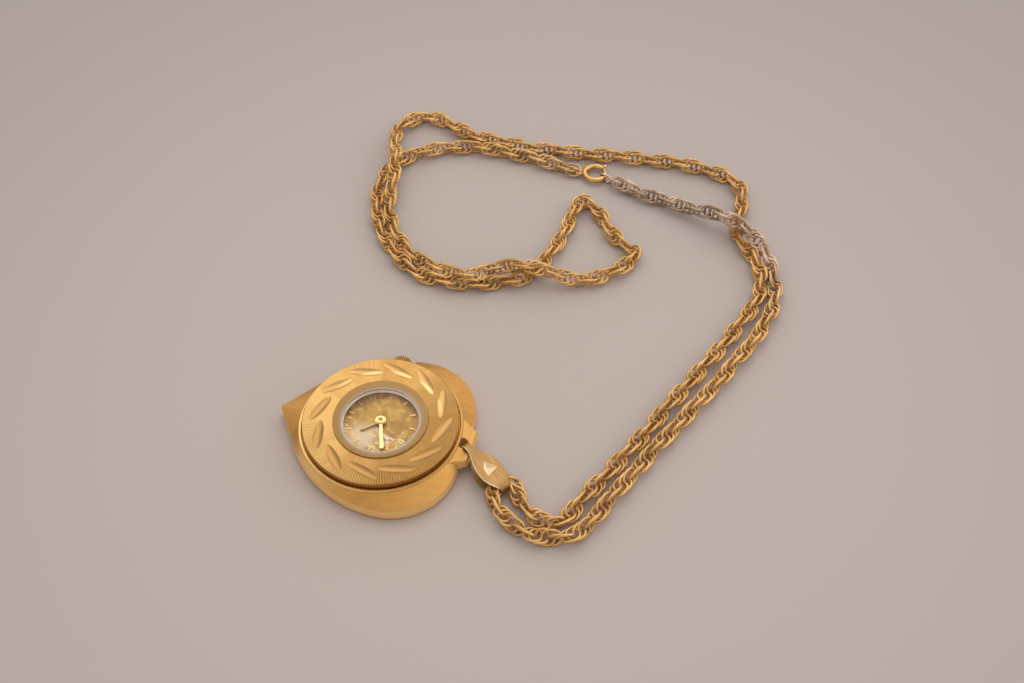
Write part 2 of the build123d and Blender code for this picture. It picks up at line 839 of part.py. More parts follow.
def jewel_places():
    """Jewel holes in the train bridge and the balance cock."""
    low = bridge_low
    return [(third_centre(), low), (fourth_centre(), low), (escape_centre(), low), (balance_centre(), cock_low)]


def make_jewels():
    """Pierced jewels for the train and the balance."""
    jewels = []
    for spot, low in jewel_places():
        jewels.append(turned(ring(jewel_radius, arbor_radius + running_gap, low, low + jewel_thickness, spot)))
    return Compound(children=jewels)


def drilled(body, places, radius):
    """A body with straight holes through it."""
    for spot in places:
        body -= disc(radius, -overrun, land_height + overrun, spot)
    return body


def train_places():
    """The pivots of the going train."""
    return [third_centre(), fourth_centre(), escape_centre(), pallet_centre(), balance_centre()]


def make_main_plate():
    """The main plate, with the minute wheel's stud in its recess and the slots for the winding work."""
    high = dial_low()
    plate = disc(movement_radius, main_plate_low, high)
    plate -= disc(motion_recess_radius, high - motion_recess_depth, high + overrun)
    plate += disc(arbor_radius, motion_low(), high - motion_layer_gap, minute_wheel_centre())
    slot_length = movement_radius - pinion_inner_y + overrun
    slot_middle = pinion_inner_y - seat_gap + slot_length / 2
    clear_high = main_plate_low + winding_slot_height
    plate -= block(2 * winding_slot_half_width, clutch_end() - pinion_inner_y + 4 * seat_gap, 0, clear_high,
                   (0, (clutch_end() + pinion_inner_y) / 2))
    plate -= block(2 * stem_slot_half_width, slot_length, 0, main_plate_low + stem_slot_half_width / 2,
                   (0, slot_middle))
    post_y = stem_groove_y + stem_groove_width / 2
    slot_width = lever_slot_reach + 3 * lever_post_radius
    plate -= block(slot_width, 2 * stem_groove_width + 4 * lever_post_radius, 0, high + overrun,
                   (slot_width / 2 - 3 * lever_post_radius, post_y))
    plate -= block(lever_pivot_x, 2 * stem_groove_width + 4 * lever_post_radius, motion_low(), high + overrun,
                   (lever_pivot_x / 2, post_y))
    plate = drilled(plate, train_places() + [barrel_centre()], arbor_radius + running_gap)
    plate = drilled(plate, [(0, 0)], centre_arbor_radius + running_gap)
    plate = drilled(plate, [(lever_pivot_x, lever_pivot_y)], arbor_radius + running_gap)
    plate = drilled(plate, [spot for spot, face in bridge_screw_places()], screw_shank_radius + screw_gap)
    return turned(plate)


def make_holder():
    """The ring that centres the movement in the case."""
    high = land_height - lip_depth
    holder = ring(case_bore_radius - holder_gap, movement_radius + holder_gap, holder_low, high)
    hole = Pos(0, 0, movement_radius - overrun) * extrude(Circle(stem_radius + crown_hole_gap), 2 * overrun)
    holder -= along_stem(hole)
    return turned(holder)


def sector(start, end, outer, inner, low, high):
    """Part of a ring between two angles."""
    edges = [
        CenterArc((0, 0), outer, start, end - start),
        Line(polar(outer, end), polar(inner, end)),
        CenterArc((0, 0), inner, end, start - end),
        Line(polar(inner, start), polar(outer, start)),
    ]
    return Pos(0, 0, low) * extrude(make_face(edges), high - low)


def bridge(start, end, inner, foot_start, foot_end):
    """A bridge with a foot that stands on the main plate along its rim."""
    outer = movement_radius - bridge_edge_gap
    body = sector(start, end, outer, inner, bridge_low, bridge_low + bridge_thickness)
    foot_low = bridge_low + bridge_thickness
    body += sector(foot_start, foot_end, outer, outer - bridge_foot_width, foot_low, main_plate_low)
    return body


def make_barrel_bridge():
    """The bridge over the barrel and the centre wheel, which carries the winding wheels."""
    body = bridge(barrel_bridge_start, barrel_bridge_end, centre_boss_radius / 2,
                  barrel_bridge_start + 4 * stem_turn, barrel_bridge_end)
    body += disc(centre_boss_radius, bridge_low, bridge_low + bridge_thickness)
    slot_length = movement_radius + overrun - pinion_inner_y
    body -= block(2 * winding_slot_half_width, slot_length, 0, main_plate_low + overrun,
                  (0, pinion_inner_y - 2 * seat_gap + slot_length / 2))
    body = drilled(body, [(0, 0)], centre_arbor_radius + running_gap)
    body = drilled(body, [barrel_centre()], barrel_arbor_radius + running_gap)
    body = drilled(body, [crown_wheel_centre()], arbor_radius + running_gap)
    body = drilled(body, [click_pivot()], arbor_radius + running_gap)
    body = drilled(body, [spot for spot, face in bridge_screw_places()], screw_shank_radius + screw_gap)
    return turned(body)


def make_train_bridge():
    """The bridge over the third, fourth and escape wheels."""
    body = bridge(train_bridge_start, train_bridge_end, train_bridge_bore,
                  train_bridge_start, train_bridge_end - 4 * stem_turn)
    body -= disc(balance_radius + jewel_radius, 0, bridge_low + bridge_thickness, balance_centre())
    for spot, low in jewel_places()[:3]:
        body -= disc(jewel_radius, low, low + jewel_thickness, spot)
    body = drilled(body, [third_centre(), fourth_centre(), escape_centre()], arbor_radius + running_gap)
    body = drilled(body, [spot for spot, face in bridge_screw_places()], screw_shank_radius + screw_gap)
    return turned(body)


def make_balance_cock():
    """The cock that holds the balance's upper pivot."""
    foot = (cock_foot_x, cock_foot_y)
    high = cock_low + cock_thickness
    body = link_plate(foot, cock_foot_radius, balance_centre(), cock_end_radius, cock_low, high)
    body += disc(cock_foot_radius, high, main_plate_low, foot)
    body -= disc(jewel_radius, cock_low, cock_low + jewel_thickness, balance_centre())
    body = drilled(body, [balance_centre()], arbor_radius + running_gap)
    body = drilled(body, [foot], screw_shank_radius + screw_gap)
    return turned(body)


def pallet_levels():
    """Heights of the pallet fork, in line with the escape wheel."""
    return escape_wheel_low, escape_wheel_low + wheel_thickness


def make_pallet_bridge():
    """The thin bridge over the pallet fork, with a foot on each side."""
    low, high = pallet_levels()
    bridge_high = low - seat_gap
    bridge_bottom = bridge_high - pallet_bridge_thickness
    centre = pallet_centre()
    bar = block(pallet_bridge_width, 2 * pallet_bridge_reach, bridge_bottom, bridge_high)
    for side in (-1, 1):
        foot_y = side * (pallet_bridge_reach - pallet_bridge_width / 4)
        bar += block(pallet_bridge_width, pallet_bridge_width / 2, bridge_high, main_plate_low, (0, foot_y))
    bar -= disc(arbor_radius + running_gap, -overrun, land_height)
    return turned(Pos(centre[0], centre[1], 0) * Rot(0, 0, pallet_angle) * bar)


def arbor(low, high):
    """A plain arbor about the Z axis."""
    return disc(arbor_radius, low, high)


def arbor_low():
    """Where the train's arbors end in the train bridge."""
    return bridge_low + seat_gap


def make_barrel():
    """The toothed barrel drum with its lid."""
    drum_radius = barrel_tooth_size * (barrel_teeth / 2 - 1) - seat_gap
    bearing = barrel_angle + 180
    body = gear(barrel_teeth, barrel_tooth_size, bearing, barrel_low, barrel_low + barrel_rim)
    body += disc(drum_radius, barrel_low + barrel_rim, barrel_low + barrel_height)
    body -= disc(drum_radius - barrel_wall, barrel_low + barrel_wall, barrel_low + barrel_height - barrel_wall)
    body -= disc(barrel_arbor_radius + running_gap, 0, land_height)
    centre = barrel_centre()
    return turned(Pos(centre[0], centre[1], 0) * body)


def make_mainspring():
    """The mainspring, as the solid ring of its coiled turns."""
    outer = barrel_tooth_size * (barrel_teeth / 2 - 1) - 2 * seat_gap - barrel_wall
    low = barrel_low + barrel_wall + running_gap
    high = barrel_low + barrel_height - barrel_wall - running_gap
    coil = ring(outer, outer - (outer - barrel_arbor_radius) / 2, low, high, barrel_centre())
    return turned(coil)


def make_barrel_arbor():
    """The barrel's arbor, which the ratchet wheel is fixed to."""
    body = disc(barrel_arbor_radius, winding_wheel_low + winding_wheel_thickness, barrel_low + barrel_height)
    body += disc(arbor_radius, barrel_low + barrel_height, main_plate_low + motion_recess_depth)
    centre = barrel_centre()
    return turned(Pos(centre[0], centre[1], 0) * body)


def make_ratchet_wheel():
    """The ratchet wheel on the barrel's arbor."""
    high = winding_wheel_low + winding_wheel_thickness
    centre = barrel_centre()
    other = crown_wheel_centre()
    bearing = math.degrees(math.atan2(other[1] - centre[1], other[0] - centre[0]))
    body = gear(ratchet_teeth, winding_tooth_size, bearing, winding_wheel_low, high)
    return turned(Pos(centre[0], centre[1], 0) * body)


def make_crown_wheel():
    """The crown wheel between the winding pinion and the ratchet wheel."""
    high = winding_wheel_low + winding_wheel_thickness
    centre = crown_wheel_centre()
    other = barrel_centre()
    bearing = math.degrees(math.atan2(other[1] - centre[1], other[0] - centre[0]))
    body = gear(crown_wheel_teeth, winding_tooth_size, mesh_phase(crown_wheel_teeth, bearing), winding_wheel_low, high)
    body += disc(arbor_radius, high, bridge_low + bridge_thickness)
    return turned(Pos(centre[0], centre[1], 0) * body)


def click_pivot():
    """Where the click swings, beside the ratchet wheel."""
    tip_radius = winding_tooth_size * (ratchet_teeth / 2 + 0.9)
    nose = shifted(barrel_centre(), tip_radius + click_gap + click_nose_radius, click_angle)
    return shifted(nose, click_length, click_angle + click_swing)


def make_click():
    """The click that stops the ratchet wheel from running back."""
    tip_radius = winding_tooth_size * (ratchet_teeth / 2 + 0.9)
    nose = shifted(barrel_centre(), tip_radius + click_gap + click_nose_radius, click_angle)
    high = winding_wheel_low + winding_wheel_thickness
    body = link_plate(click_pivot(), click_radius, nose, click_nose_radius, winding_wheel_low, high)
    pivot = click_pivot()
    body += disc(arbor_radius, high, bridge_low + bridge_thickness, pivot)
    return turned(body)


def make_centre_wheel():
    """The centre wheel with its pinion and the long arbor that carries the cannon pinion."""
    wheel_high = centre_wheel_low + wheel_thickness
    body = gear(centre_wheel_teeth, centre_tooth_size, third_angle, centre_wheel_low, wheel_high)
    body = lightened(body, centre_tooth_size * centre_wheel_teeth / 2, centre_wheel_low, wheel_high)
    pinion_low = bridge_low + bridge_thickness + running_gap
    phase = mesh_phase(centre_pinion_teeth, barrel_angle)
    body += gear(centre_pinion_teeth, barrel_tooth_size, phase, pinion_low, centre_wheel_low)
    body += disc(centre_arbor_radius, arbor_low(), dial_top() + minute_hand_lift - seat_gap)
    return turned(body)


def make_third_wheel():
    """The third wheel and pinion."""
    wheel_high = third_wheel_low + wheel_thickness
    body = gear(third_wheel_teeth, third_tooth_size, fourth_angle, third_wheel_low, wheel_high)
    body = lightened(body, third_tooth_size * third_wheel_teeth / 2, third_wheel_low, wheel_high)
    phase = mesh_phase(third_pinion_teeth, third_angle + 180)
    pinion_low = centre_wheel_low - pinion_reach
    body += gear(third_pinion_teeth, centre_tooth_size, phase, pinion_low, centre_wheel_low + wheel_thickness)
    body += arbor(arbor_low(), dial_low() - motion_recess_depth)
    centre = third_centre()
    return turned(Pos(centre[0], centre[1], 0) * body)


def make_fourth_wheel():
    """The fourth wheel and pinion."""
    wheel_high = fourth_wheel_low + wheel_thickness
    body = gear(fourth_wheel_teeth, fourth_tooth_size, escape_angle, fourth_wheel_low, wheel_high)
    body = lightened(body, fourth_tooth_size * fourth_wheel_teeth / 2, fourth_wheel_low, wheel_high)
    phase = mesh_phase(fourth_pinion_teeth, fourth_angle + 180)
    pinion_low = third_wheel_low - pinion_reach
    body += gear(fourth_pinion_teeth, third_tooth_size, phase, pinion_low, fourth_wheel_low)
    body += arbor(arbor_low(), dial_low() - motion_recess_depth)
    centre = fourth_centre()
    return turned(Pos(centre[0], centre[1], 0) * body)


def make_escape_wheel():
    """The escape wheel with its pointed teeth and its pinion."""
    points = []
    for index in range(escape_teeth):
        angle = index * 360 / escape_teeth
        points.append(polar(escape_radius, angle))
        points.append(polar(escape_radius - escape_tooth_depth, angle + 90 / escape_teeth))
        points.append(polar(escape_radius - escape_tooth_depth, angle + 300 / escape_teeth))
    face = make_face(Polyline(*points, close=True))
    body = Pos(0, 0, escape_wheel_low) * extrude(face, wheel_thickness)
    phase = mesh_phase(escape_pinion_teeth, escape_angle + 180)
    pinion_high = fourth_wheel_low + wheel_thickness + pinion_reach
    body += gear(escape_pinion_teeth, fourth_tooth_size, phase, escape_wheel_low + wheel_thickness, pinion_high)
    body += arbor(arbor_low(), dial_low() - motion_recess_depth)
    centre = escape_centre()
    return turned(Pos(centre[0], centre[1], 0) * body)


def make_pallet_fork():
    """The lever with its two pallets and the fork that faces the roller."""
    low, high = pallet_levels()
    reach = fork_reach
    body = link_plate((0, 0), fork_width, (reach, 0), fork_width / 2, low, high)
    for side in (-1, 1):
        body += link_plate((0, 0), fork_width, polar(pallet_arm_length, side * 90), pallet_arm_width / 2, low, high)
        prong = (reach, side * fork_width / 2)
        body += link_plate((reach, 0), fork_width / 3, prong, fork_width / 3, low, high)
    body += arbor(low - pallet_bridge_thickness, dial_low() - motion_recess_depth)
    centre = pallet_centre()
    away = Pos(centre[0], centre[1], 0) * Rot(0, 0, pallet_angle) * body
    away -= disc(escape_radius + pallet_stone_gap, low - overrun, high, escape_centre())
    return turned(away)


def make_balance():
    """The balance wheel on its staff, with the roller."""
    high = balance_low + balance_thickness
    body = ring(balance_radius, balance_radius - balance_rim_width, balance_low, high)
    for angle in (0, 90):
        arm = block(2 * balance_radius - balance_rim_width, balance_arm_width, balance_low, high)
        body += Rot(0, 0, angle) * arm
    roller_low = escape_wheel_low + (wheel_thickness - roller_thickness) / 2
    body += disc(roller_radius, roller_low, roller_low + roller_thickness)
    body += arbor(cock_low + seat_gap, dial_low() - motion_recess_depth)
    centre = balance_centre()
    return turned(Pos(centre[0], centre[1], 0) * body)


def make_hairspring():
    """The hairspring, as the flat ring of its turns."""
    return turned(ring(hairspring_outer, hairspring_inner, hairspring_low, hairspring_low + hairspring_height,
                       balance_centre()))


def motion_low():
    """Floor of the recess that holds the motion works."""
    return dial_low() - motion_recess_depth


def make_cannon_pinion():
    """The cannon pinion, held on the centre arbor by friction."""
    low = motion_low() + motion_layer_gap
    bore = centre_arbor_radius + running_gap
    phase = mesh_phase(cannon_teeth, minute_wheel_angle)
    body = gear(cannon_teeth, motion_tooth_size, phase, low, low + motion_wheel_thickness)
    body += disc(bore + cannon_wall, low, dial_top() + minute_hand_lift + hand_thickness)
    body -= disc(bore, -overrun, dial_top() + minute_hand_lift)
    return turned(body)


def make_minute_wheel():
    """The minute wheel and its pinion."""
    low = motion_low() + motion_layer_gap
    high = low + motion_wheel_thickness
    body = gear(minute_wheel_teeth, motion_tooth_size, minute_wheel_angle + 180, low, high)
    tooth_size = motion_tooth_size * (cannon_teeth + minute_wheel_teeth) / (minute_pinion_teeth + hour_wheel_teeth)
    phase = mesh_phase(minute_pinion_teeth, minute_wheel_angle + 180)
    body += gear(minute_pinion_teeth, tooth_size, phase, high, dial_low() - motion_layer_gap)
    body -= disc(arbor_radius + running_gap, low - overrun, land_height + overrun)
    centre = minute_wheel_centre()
    return turned(Pos(centre[0], centre[1], 0) * body)


def make_hour_wheel():
    """The hour wheel with the pipe that carries the hour hand."""
    low = motion_low() + 2 * motion_layer_gap + motion_wheel_thickness
    high = dial_low() - motion_layer_gap
    tooth_size = motion_tooth_size * (cannon_teeth + minute_wheel_teeth) / (minute_pinion_teeth + hour_wheel_teeth)
    body = gear(hour_wheel_teeth, tooth_size, minute_wheel_angle, low, high)
    body += disc(hour_pipe_radius(), high, dial_top() + hour_hand_lift + hand_thickness)
    body -= disc(hour_pipe_radius() - hour_pipe_wall, low - overrun, land_height + overrun)
    return turned(body)


def pinion_outer_y():
    """Outer end of the winding pinion."""
    return pinion_inner_y + winding_pinion_length


def clutch_end():
    """Outer end of the clutch."""
    return pinion_outer_y() + clutch_gap + clutch_length


def make_winding_pinion():
    """The winding pinion that the stem turns."""
    tooth_size = 2 * winding_pinion_radius / (winding_pinion_teeth + 2)
    body = gear(winding_pinion_teeth, tooth_size, 0, pinion_inner_y, pinion_outer_y())
    body -= disc(stem_radius + sleeve_gap, -overrun, movement_radius + overrun)
    return turned(along_stem(body))


def make_clutch():
    """The sliding clutch with its groove."""
    low = pinion_outer_y() + clutch_gap
    body = ring(clutch_radius, stem_radius + sleeve_gap, low, clutch_end())
    middle = (low + clutch_end()) / 2
    groove_low = middle - clutch_groove_width / 2
    body -= ring(clutch_radius + overrun, clutch_radius - clutch_groove_depth, groove_low,
                 groove_low + clutch_groove_width)
    return turned(along_stem(body))


def make_stem():
    """The winding stem, from the movement to the crown."""
    body = disc(stem_radius, stem_inner_y, crown_inner_reach)
    body -= ring(stem_radius + overrun, stem_radius - stem_groove_depth, stem_groove_y,
                 stem_groove_y + stem_groove_width)
    return turned(along_stem(body))


def make_crown():
    """The fluted crown on the stem's end."""
    points = []
    for index in range(crown_flutes):
        angle = index * 360 / crown_flutes
        points.append(polar(crown_radius, angle - 90 / crown_flutes))
        points.append(polar(crown_radius, angle + 90 / crown_flutes))
        points.append(polar(crown_radius - crown_flute_depth, angle + 180 / crown_flutes))
    face = make_face(Polyline(*points, close=True))
    outer = crown_inner_reach + crown_length
    body = Pos(0, 0, crown_inner_reach) * extrude(face, crown_length)
    profile = [
        (0, crown_inner_reach), (crown_radius - crown_bevel, crown_inner_reach),
        (crown_radius, crown_inner_reach + crown_bevel), (crown_radius, outer - crown_bevel),
        (crown_radius - crown_bevel, outer), (0, outer),
    ]
    body = body & spun(profile)
    return turned(along_stem(body))


def make_setting_lever():
    """The lever whose post sits in the stem's groove."""
    low = motion_low() + lever_lift
    high = low + lever_thickness
    pivot = (lever_pivot_x, lever_pivot_y)
    post = (0, stem_groove_y + stem_groove_width / 2)
    body = link_plate(pivot, lever_radius, post, 2 * lever_post_radius, low, high)
    body += disc(arbor_radius, main_plate_low, low, pivot)
    post_low = stem_height + stem_radius - stem_groove_depth + seat_gap
    body += disc(lever_post_radius, post_low, low, post)
    return turned(body)


def tube_ring(major, minor, start, sweep_angle):
    """Part of a round wire ring in the XY plane."""
    section = Plane.XZ * Pos(major, 0) * Circle(minor)
    return Rot(0, 0, start) * revolve(section, Axis.Z, sweep_angle)


def clasp_place(shape):
    """Lay a clasp piece in its place, held off the surface by the links round it."""
    return Pos(clasp_x, clasp_y, clasp_height()) * shape


def clasp_height():
    """Height of the clasp's centre line, level with the link that stands on edge."""
    return jump_link_half_width + jump_wire / 2


def clasp_major():
    """Radius of the clasp ring's centre line."""
    return clasp_outer_radius - clasp_wire / 2


def trigger_slot(start, sweep_angle, half_width):
    """The slot in the ring's outer wall that the trigger's nub slides in."""
    section = Plane.XZ * Pos(clasp_major() + trigger_nub_height / 2, 0) * Rectangle(trigger_nub_height, 2 * half_width)
    return Rot(0, 0, start) * revolve(section, Axis.Z, sweep_angle)


def make_clasp_ring():
    """The hollow ring of the clasp, open where the trigger closes it, with its fixed eye."""
    start = clasp_gap_start + clasp_gap_sweep
    body = tube_ring(clasp_major(), clasp_wire / 2, start, 360 - clasp_gap_sweep)
    body -= tube_ring(clasp_major(), clasp_bore_radius, start, clasp_bore_sweep)
    body -= tube_ring(clasp_major(), clasp_bore_radius, clasp_gap_start - trigger_seat_sweep, trigger_seat_sweep)
    body -= trigger_slot(start, trigger_travel + 3 * trigger_tail_sweep / 5, trigger_nub_radius + trigger_slot_gap)
    eye = polar(clasp_outer_radius + eye_radius - eye_wire / 4, eye_angle)
    body += Pos(eye[0], eye[1], 0) * tube_ring(eye_radius, eye_wire / 2, 0, 360)
    return clasp_place(body)


def make_clasp_trigger():
    """The sliding bar that closes the clasp, with its nub."""
    start = clasp_gap_start - trigger_seat_sweep + clasp_spring_gap
    sweep_angle = clasp_gap_sweep + trigger_seat_sweep - clasp_spring_gap + trigger_tail_sweep
    body = tube_ring(clasp_major(), trigger_radius, start, sweep_angle)
    nub_angle = clasp_gap_start + clasp_gap_sweep + trigger_tail_sweep / 4
    nub = Rot(0, 0, nub_angle) * Pos(clasp_major(), 0, 0) * Rot(0, 90, 0) * extrude(Circle(trigger_nub_radius), trigger_nub_height)
    return clasp_place(body + nub)


def make_clasp_spring():
    """The spring behind the trigger, as a plain curved tube."""
    start = clasp_gap_start + clasp_gap_sweep + trigger_tail_sweep + clasp_spring_gap
    body = tube_ring(clasp_major(), clasp_spring_radius, start, clasp_spring_sweep)
    body -= tube_ring(clasp_major(), clasp_spring_inner, start - clasp_spring_gap,
                      clasp_spring_sweep + 2 * clasp_spring_gap)
    return clasp_place(body)


def make_jump_ring():
    """The ring between the clasp's eye and the long end of the chain, standing on edge."""
    body = tube_ring(jump_ring_radius, jump_wire / 2, 0, 360)
    standing = Rot(0, 0, eye_angle) * Rot(90, 0, 0) * body
    place = polar(clasp_outer_radius + eye_radius - eye_wire / 4 + jump_ring_radius, eye_angle)
    return Pos(clasp_x + place[0], clasp_y + place[1], clasp_height()) * standing


def make_jump_link():
    """The pale oval link between the clasp and the short end of the chain, standing on edge."""
    straight = jump_link_half_length - jump_link_half_width
    end_arc = Pos(straight, 0) * tube_ring(jump_link_half_width, jump_wire / 2, -90, 180)
    body = end_arc + Rot(0, 0, 180) * end_arc
    for side in (-1, 1):
        rod = Pos(-straight, side * jump_link_half_width, 0) * Rot(0, 90, 0) * Cylinder(
            jump_wire / 2, 2 * straight, align=(Align.CENTER, Align.CENTER, Align.MIN))
        body += rod
    end = short_route[0]
    target = (end[0] - clasp_x, end[1] - clasp_y)
    bearing = math.degrees(math.atan2(target[1], target[0]))
    inner_end = clasp_major() - clasp_wire / 2 - jump_wire / 2 - seat_gap
    place = polar(inner_end + jump_link_half_length, bearing)
    return Pos(clasp_x + place[0], clasp_y + place[1], clasp_height()) * Rot(0, 0, bearing) * Rot(90, 0, 0) * body


def rope_tube(name, route, diameter):
    """A plain round tube along straight runs joined by tangent arcs."""
    points = [Vector(*point) for point in route]
    radii = []
    for before, corner, after in zip(points, points[1:], points[2:]):
        turn = math.radians((corner - before).get_angle(after - corner))
        shorter = min((corner - before).length, (after - corner).length)
        radii.append(arc_share * shorter / math.tan(turn / 2))
    path = FilletPolyline(*points, radius=radii)
    section = Plane(origin=points[0], z_dir=points[1] - points[0]) * Circle(diameter / 2)
    tube = sweep(section, path=path)
    expected = math.pi * diameter ** 2 / 4 * path.length
    print(name, "length", round(path.length, 2), "volume share", round(tube.volume / expected, 4))
    print(name, "radii", [round(radius, 2) for radius in radii])
    return tube


def main():
    """Write each piece to its own file."""
    os.makedirs("parts", exist_ok=True)
    pieces = {
        "heart_case": make_case(),
        "case_back": make_cover(),
        "collar_ring": make_collar(),
        "engraved_plate": make_engraved_plate(),
        "crystal": make_crystal(),
        "bright_ring": make_bright_ring(),
        "dial": make_dial(),
        "dial_markers": make_markers(),
        "hour_hand": make_hour_hand(),
        "minute_hand": make_minute_hand(),
        "lug": make_lug(),
        "bail": make_bail(),
        "main_plate": make_main_plate(),
        "movement_holder": make_holder(),
        "barrel_bridge": make_barrel_bridge(),
        "train_bridge": make_train_bridge(),
        "balance_cock": make_balance_cock(),
        "pallet_bridge": make_pallet_bridge(),
        "movement_screws": make_screws(),
        "jewels": make_jewels(),
        "barrel": make_barrel(),
        "mainspring": make_mainspring(),
        "barrel_arbor": make_barrel_arbor(),
        "ratchet_wheel": make_ratchet_wheel(),
        "crown_wheel": make_crown_wheel(),
        "click": make_click(),
        "centre_wheel": make_centre_wheel(),
        "third_wheel": make_third_wheel(),
        "fourth_wheel": make_fourth_wheel(),
        "escape_wheel": make_escape_wheel(),
        "pallet_fork": make_pallet_fork(),
        "balance_wheel": make_balance(),
        "hairspring": make_hairspring(),
        "cannon_pinion": make_cannon_pinion(),
        "minute_wheel": make_minute_wheel(),
        "hour_wheel": make_hour_wheel(),
        "winding_pinion": make_winding_pinion(),
        "clutch": make_clutch(),
        "winding_stem": make_stem(),
        "crown": make_crown(),
        "setting_lever": make_setting_lever(),
        "clasp_ring": make_clasp_ring(),
        "clasp_trigger": make_clasp_trigger(),
        "clasp_spring": make_clasp_spring(),
        "jump_ring": make_jump_ring(),
        "jump_link": make_jump_link(),
        "chain_long": rope_tube("chain_long", long_route, chain_diameter),
        "chain_short": rope_tube("chain_short", short_route, chain_diameter),
        "chain_span": rope_tube("chain_span", span_route, span_diameter),
    }
    for name, shape in pieces.items():
        export_step(shape, f"parts/{name}.step")


main()
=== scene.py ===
import math
from bisect import bisect_right

import bmesh
import bpy
from mathutils import Matrix, Vector


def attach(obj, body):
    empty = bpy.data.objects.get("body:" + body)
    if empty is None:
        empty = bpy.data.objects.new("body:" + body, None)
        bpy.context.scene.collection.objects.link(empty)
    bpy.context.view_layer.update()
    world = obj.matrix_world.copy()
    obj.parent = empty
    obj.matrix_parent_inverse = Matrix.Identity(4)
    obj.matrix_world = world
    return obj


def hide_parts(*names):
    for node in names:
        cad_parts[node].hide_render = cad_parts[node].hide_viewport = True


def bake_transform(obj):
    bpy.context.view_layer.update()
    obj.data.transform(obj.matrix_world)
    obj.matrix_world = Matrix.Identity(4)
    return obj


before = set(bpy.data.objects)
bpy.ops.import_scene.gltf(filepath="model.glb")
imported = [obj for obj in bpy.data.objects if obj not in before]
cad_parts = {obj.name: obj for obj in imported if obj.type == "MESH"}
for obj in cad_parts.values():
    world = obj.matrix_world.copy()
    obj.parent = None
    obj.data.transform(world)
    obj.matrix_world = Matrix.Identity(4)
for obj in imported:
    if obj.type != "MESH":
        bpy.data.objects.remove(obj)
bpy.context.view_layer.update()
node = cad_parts
MM = 0.001


def mm(*values):
    """A point or size in metres from millimetres."""
    return Vector(values) * MM


def add_object(name, data):
    """A new object in the scene, from its data."""
    made = bpy.data.objects.new(name, data)
    bpy.context.scene.collection.objects.link(made)
    return made


# ---------------------------------------------------------------- camera
# Place and axes were fitted to the round rings and the heart's outline in the photograph.
FOCAL_PIXELS = 1250.0
IMAGE_WIDTH = 1024
SENSOR_WIDTH = 36.0
camera_place = mm(58.07, -122.93, 182.86)
camera_right = Vector((0.96410, 0.26556, 0.0))
camera_up = Vector((-0.20163, 0.73201, 0.65077))
camera_back = camera_right.cross(camera_up)

camera_data = bpy.data.cameras.new("photo_camera")
camera_data.sensor_fit = "HORIZONTAL"
camera_data.sensor_width = SENSOR_WIDTH
camera_data.lens = FOCAL_PIXELS / IMAGE_WIDTH * SENSOR_WIDTH
camera_data.clip_start = 0.001
camera_data.clip_end = 20.0
camera = add_object("photo_camera", camera_data)
camera.matrix_world = Matrix((
    (camera_right.x, camera_up.x, camera_back.x, camera_place.x),
    (camera_right.y, camera_up.y, camera_back.y, camera_place.y),
    (camera_right.z, camera_up.z, camera_back.z, camera_place.z),
    (0, 0, 0, 1),
))
bpy.context.scene.camera = camera
bpy.context.scene.view_settings.view_transform = "Standard"


# ---------------------------------------------------------------- node graphs
GRAIN_SCALE = 5400.0
GRAIN_DEPTH = 0.02 * MM
CLOUD_SCALE = 180.0
GLOSS_REACH = 0.12


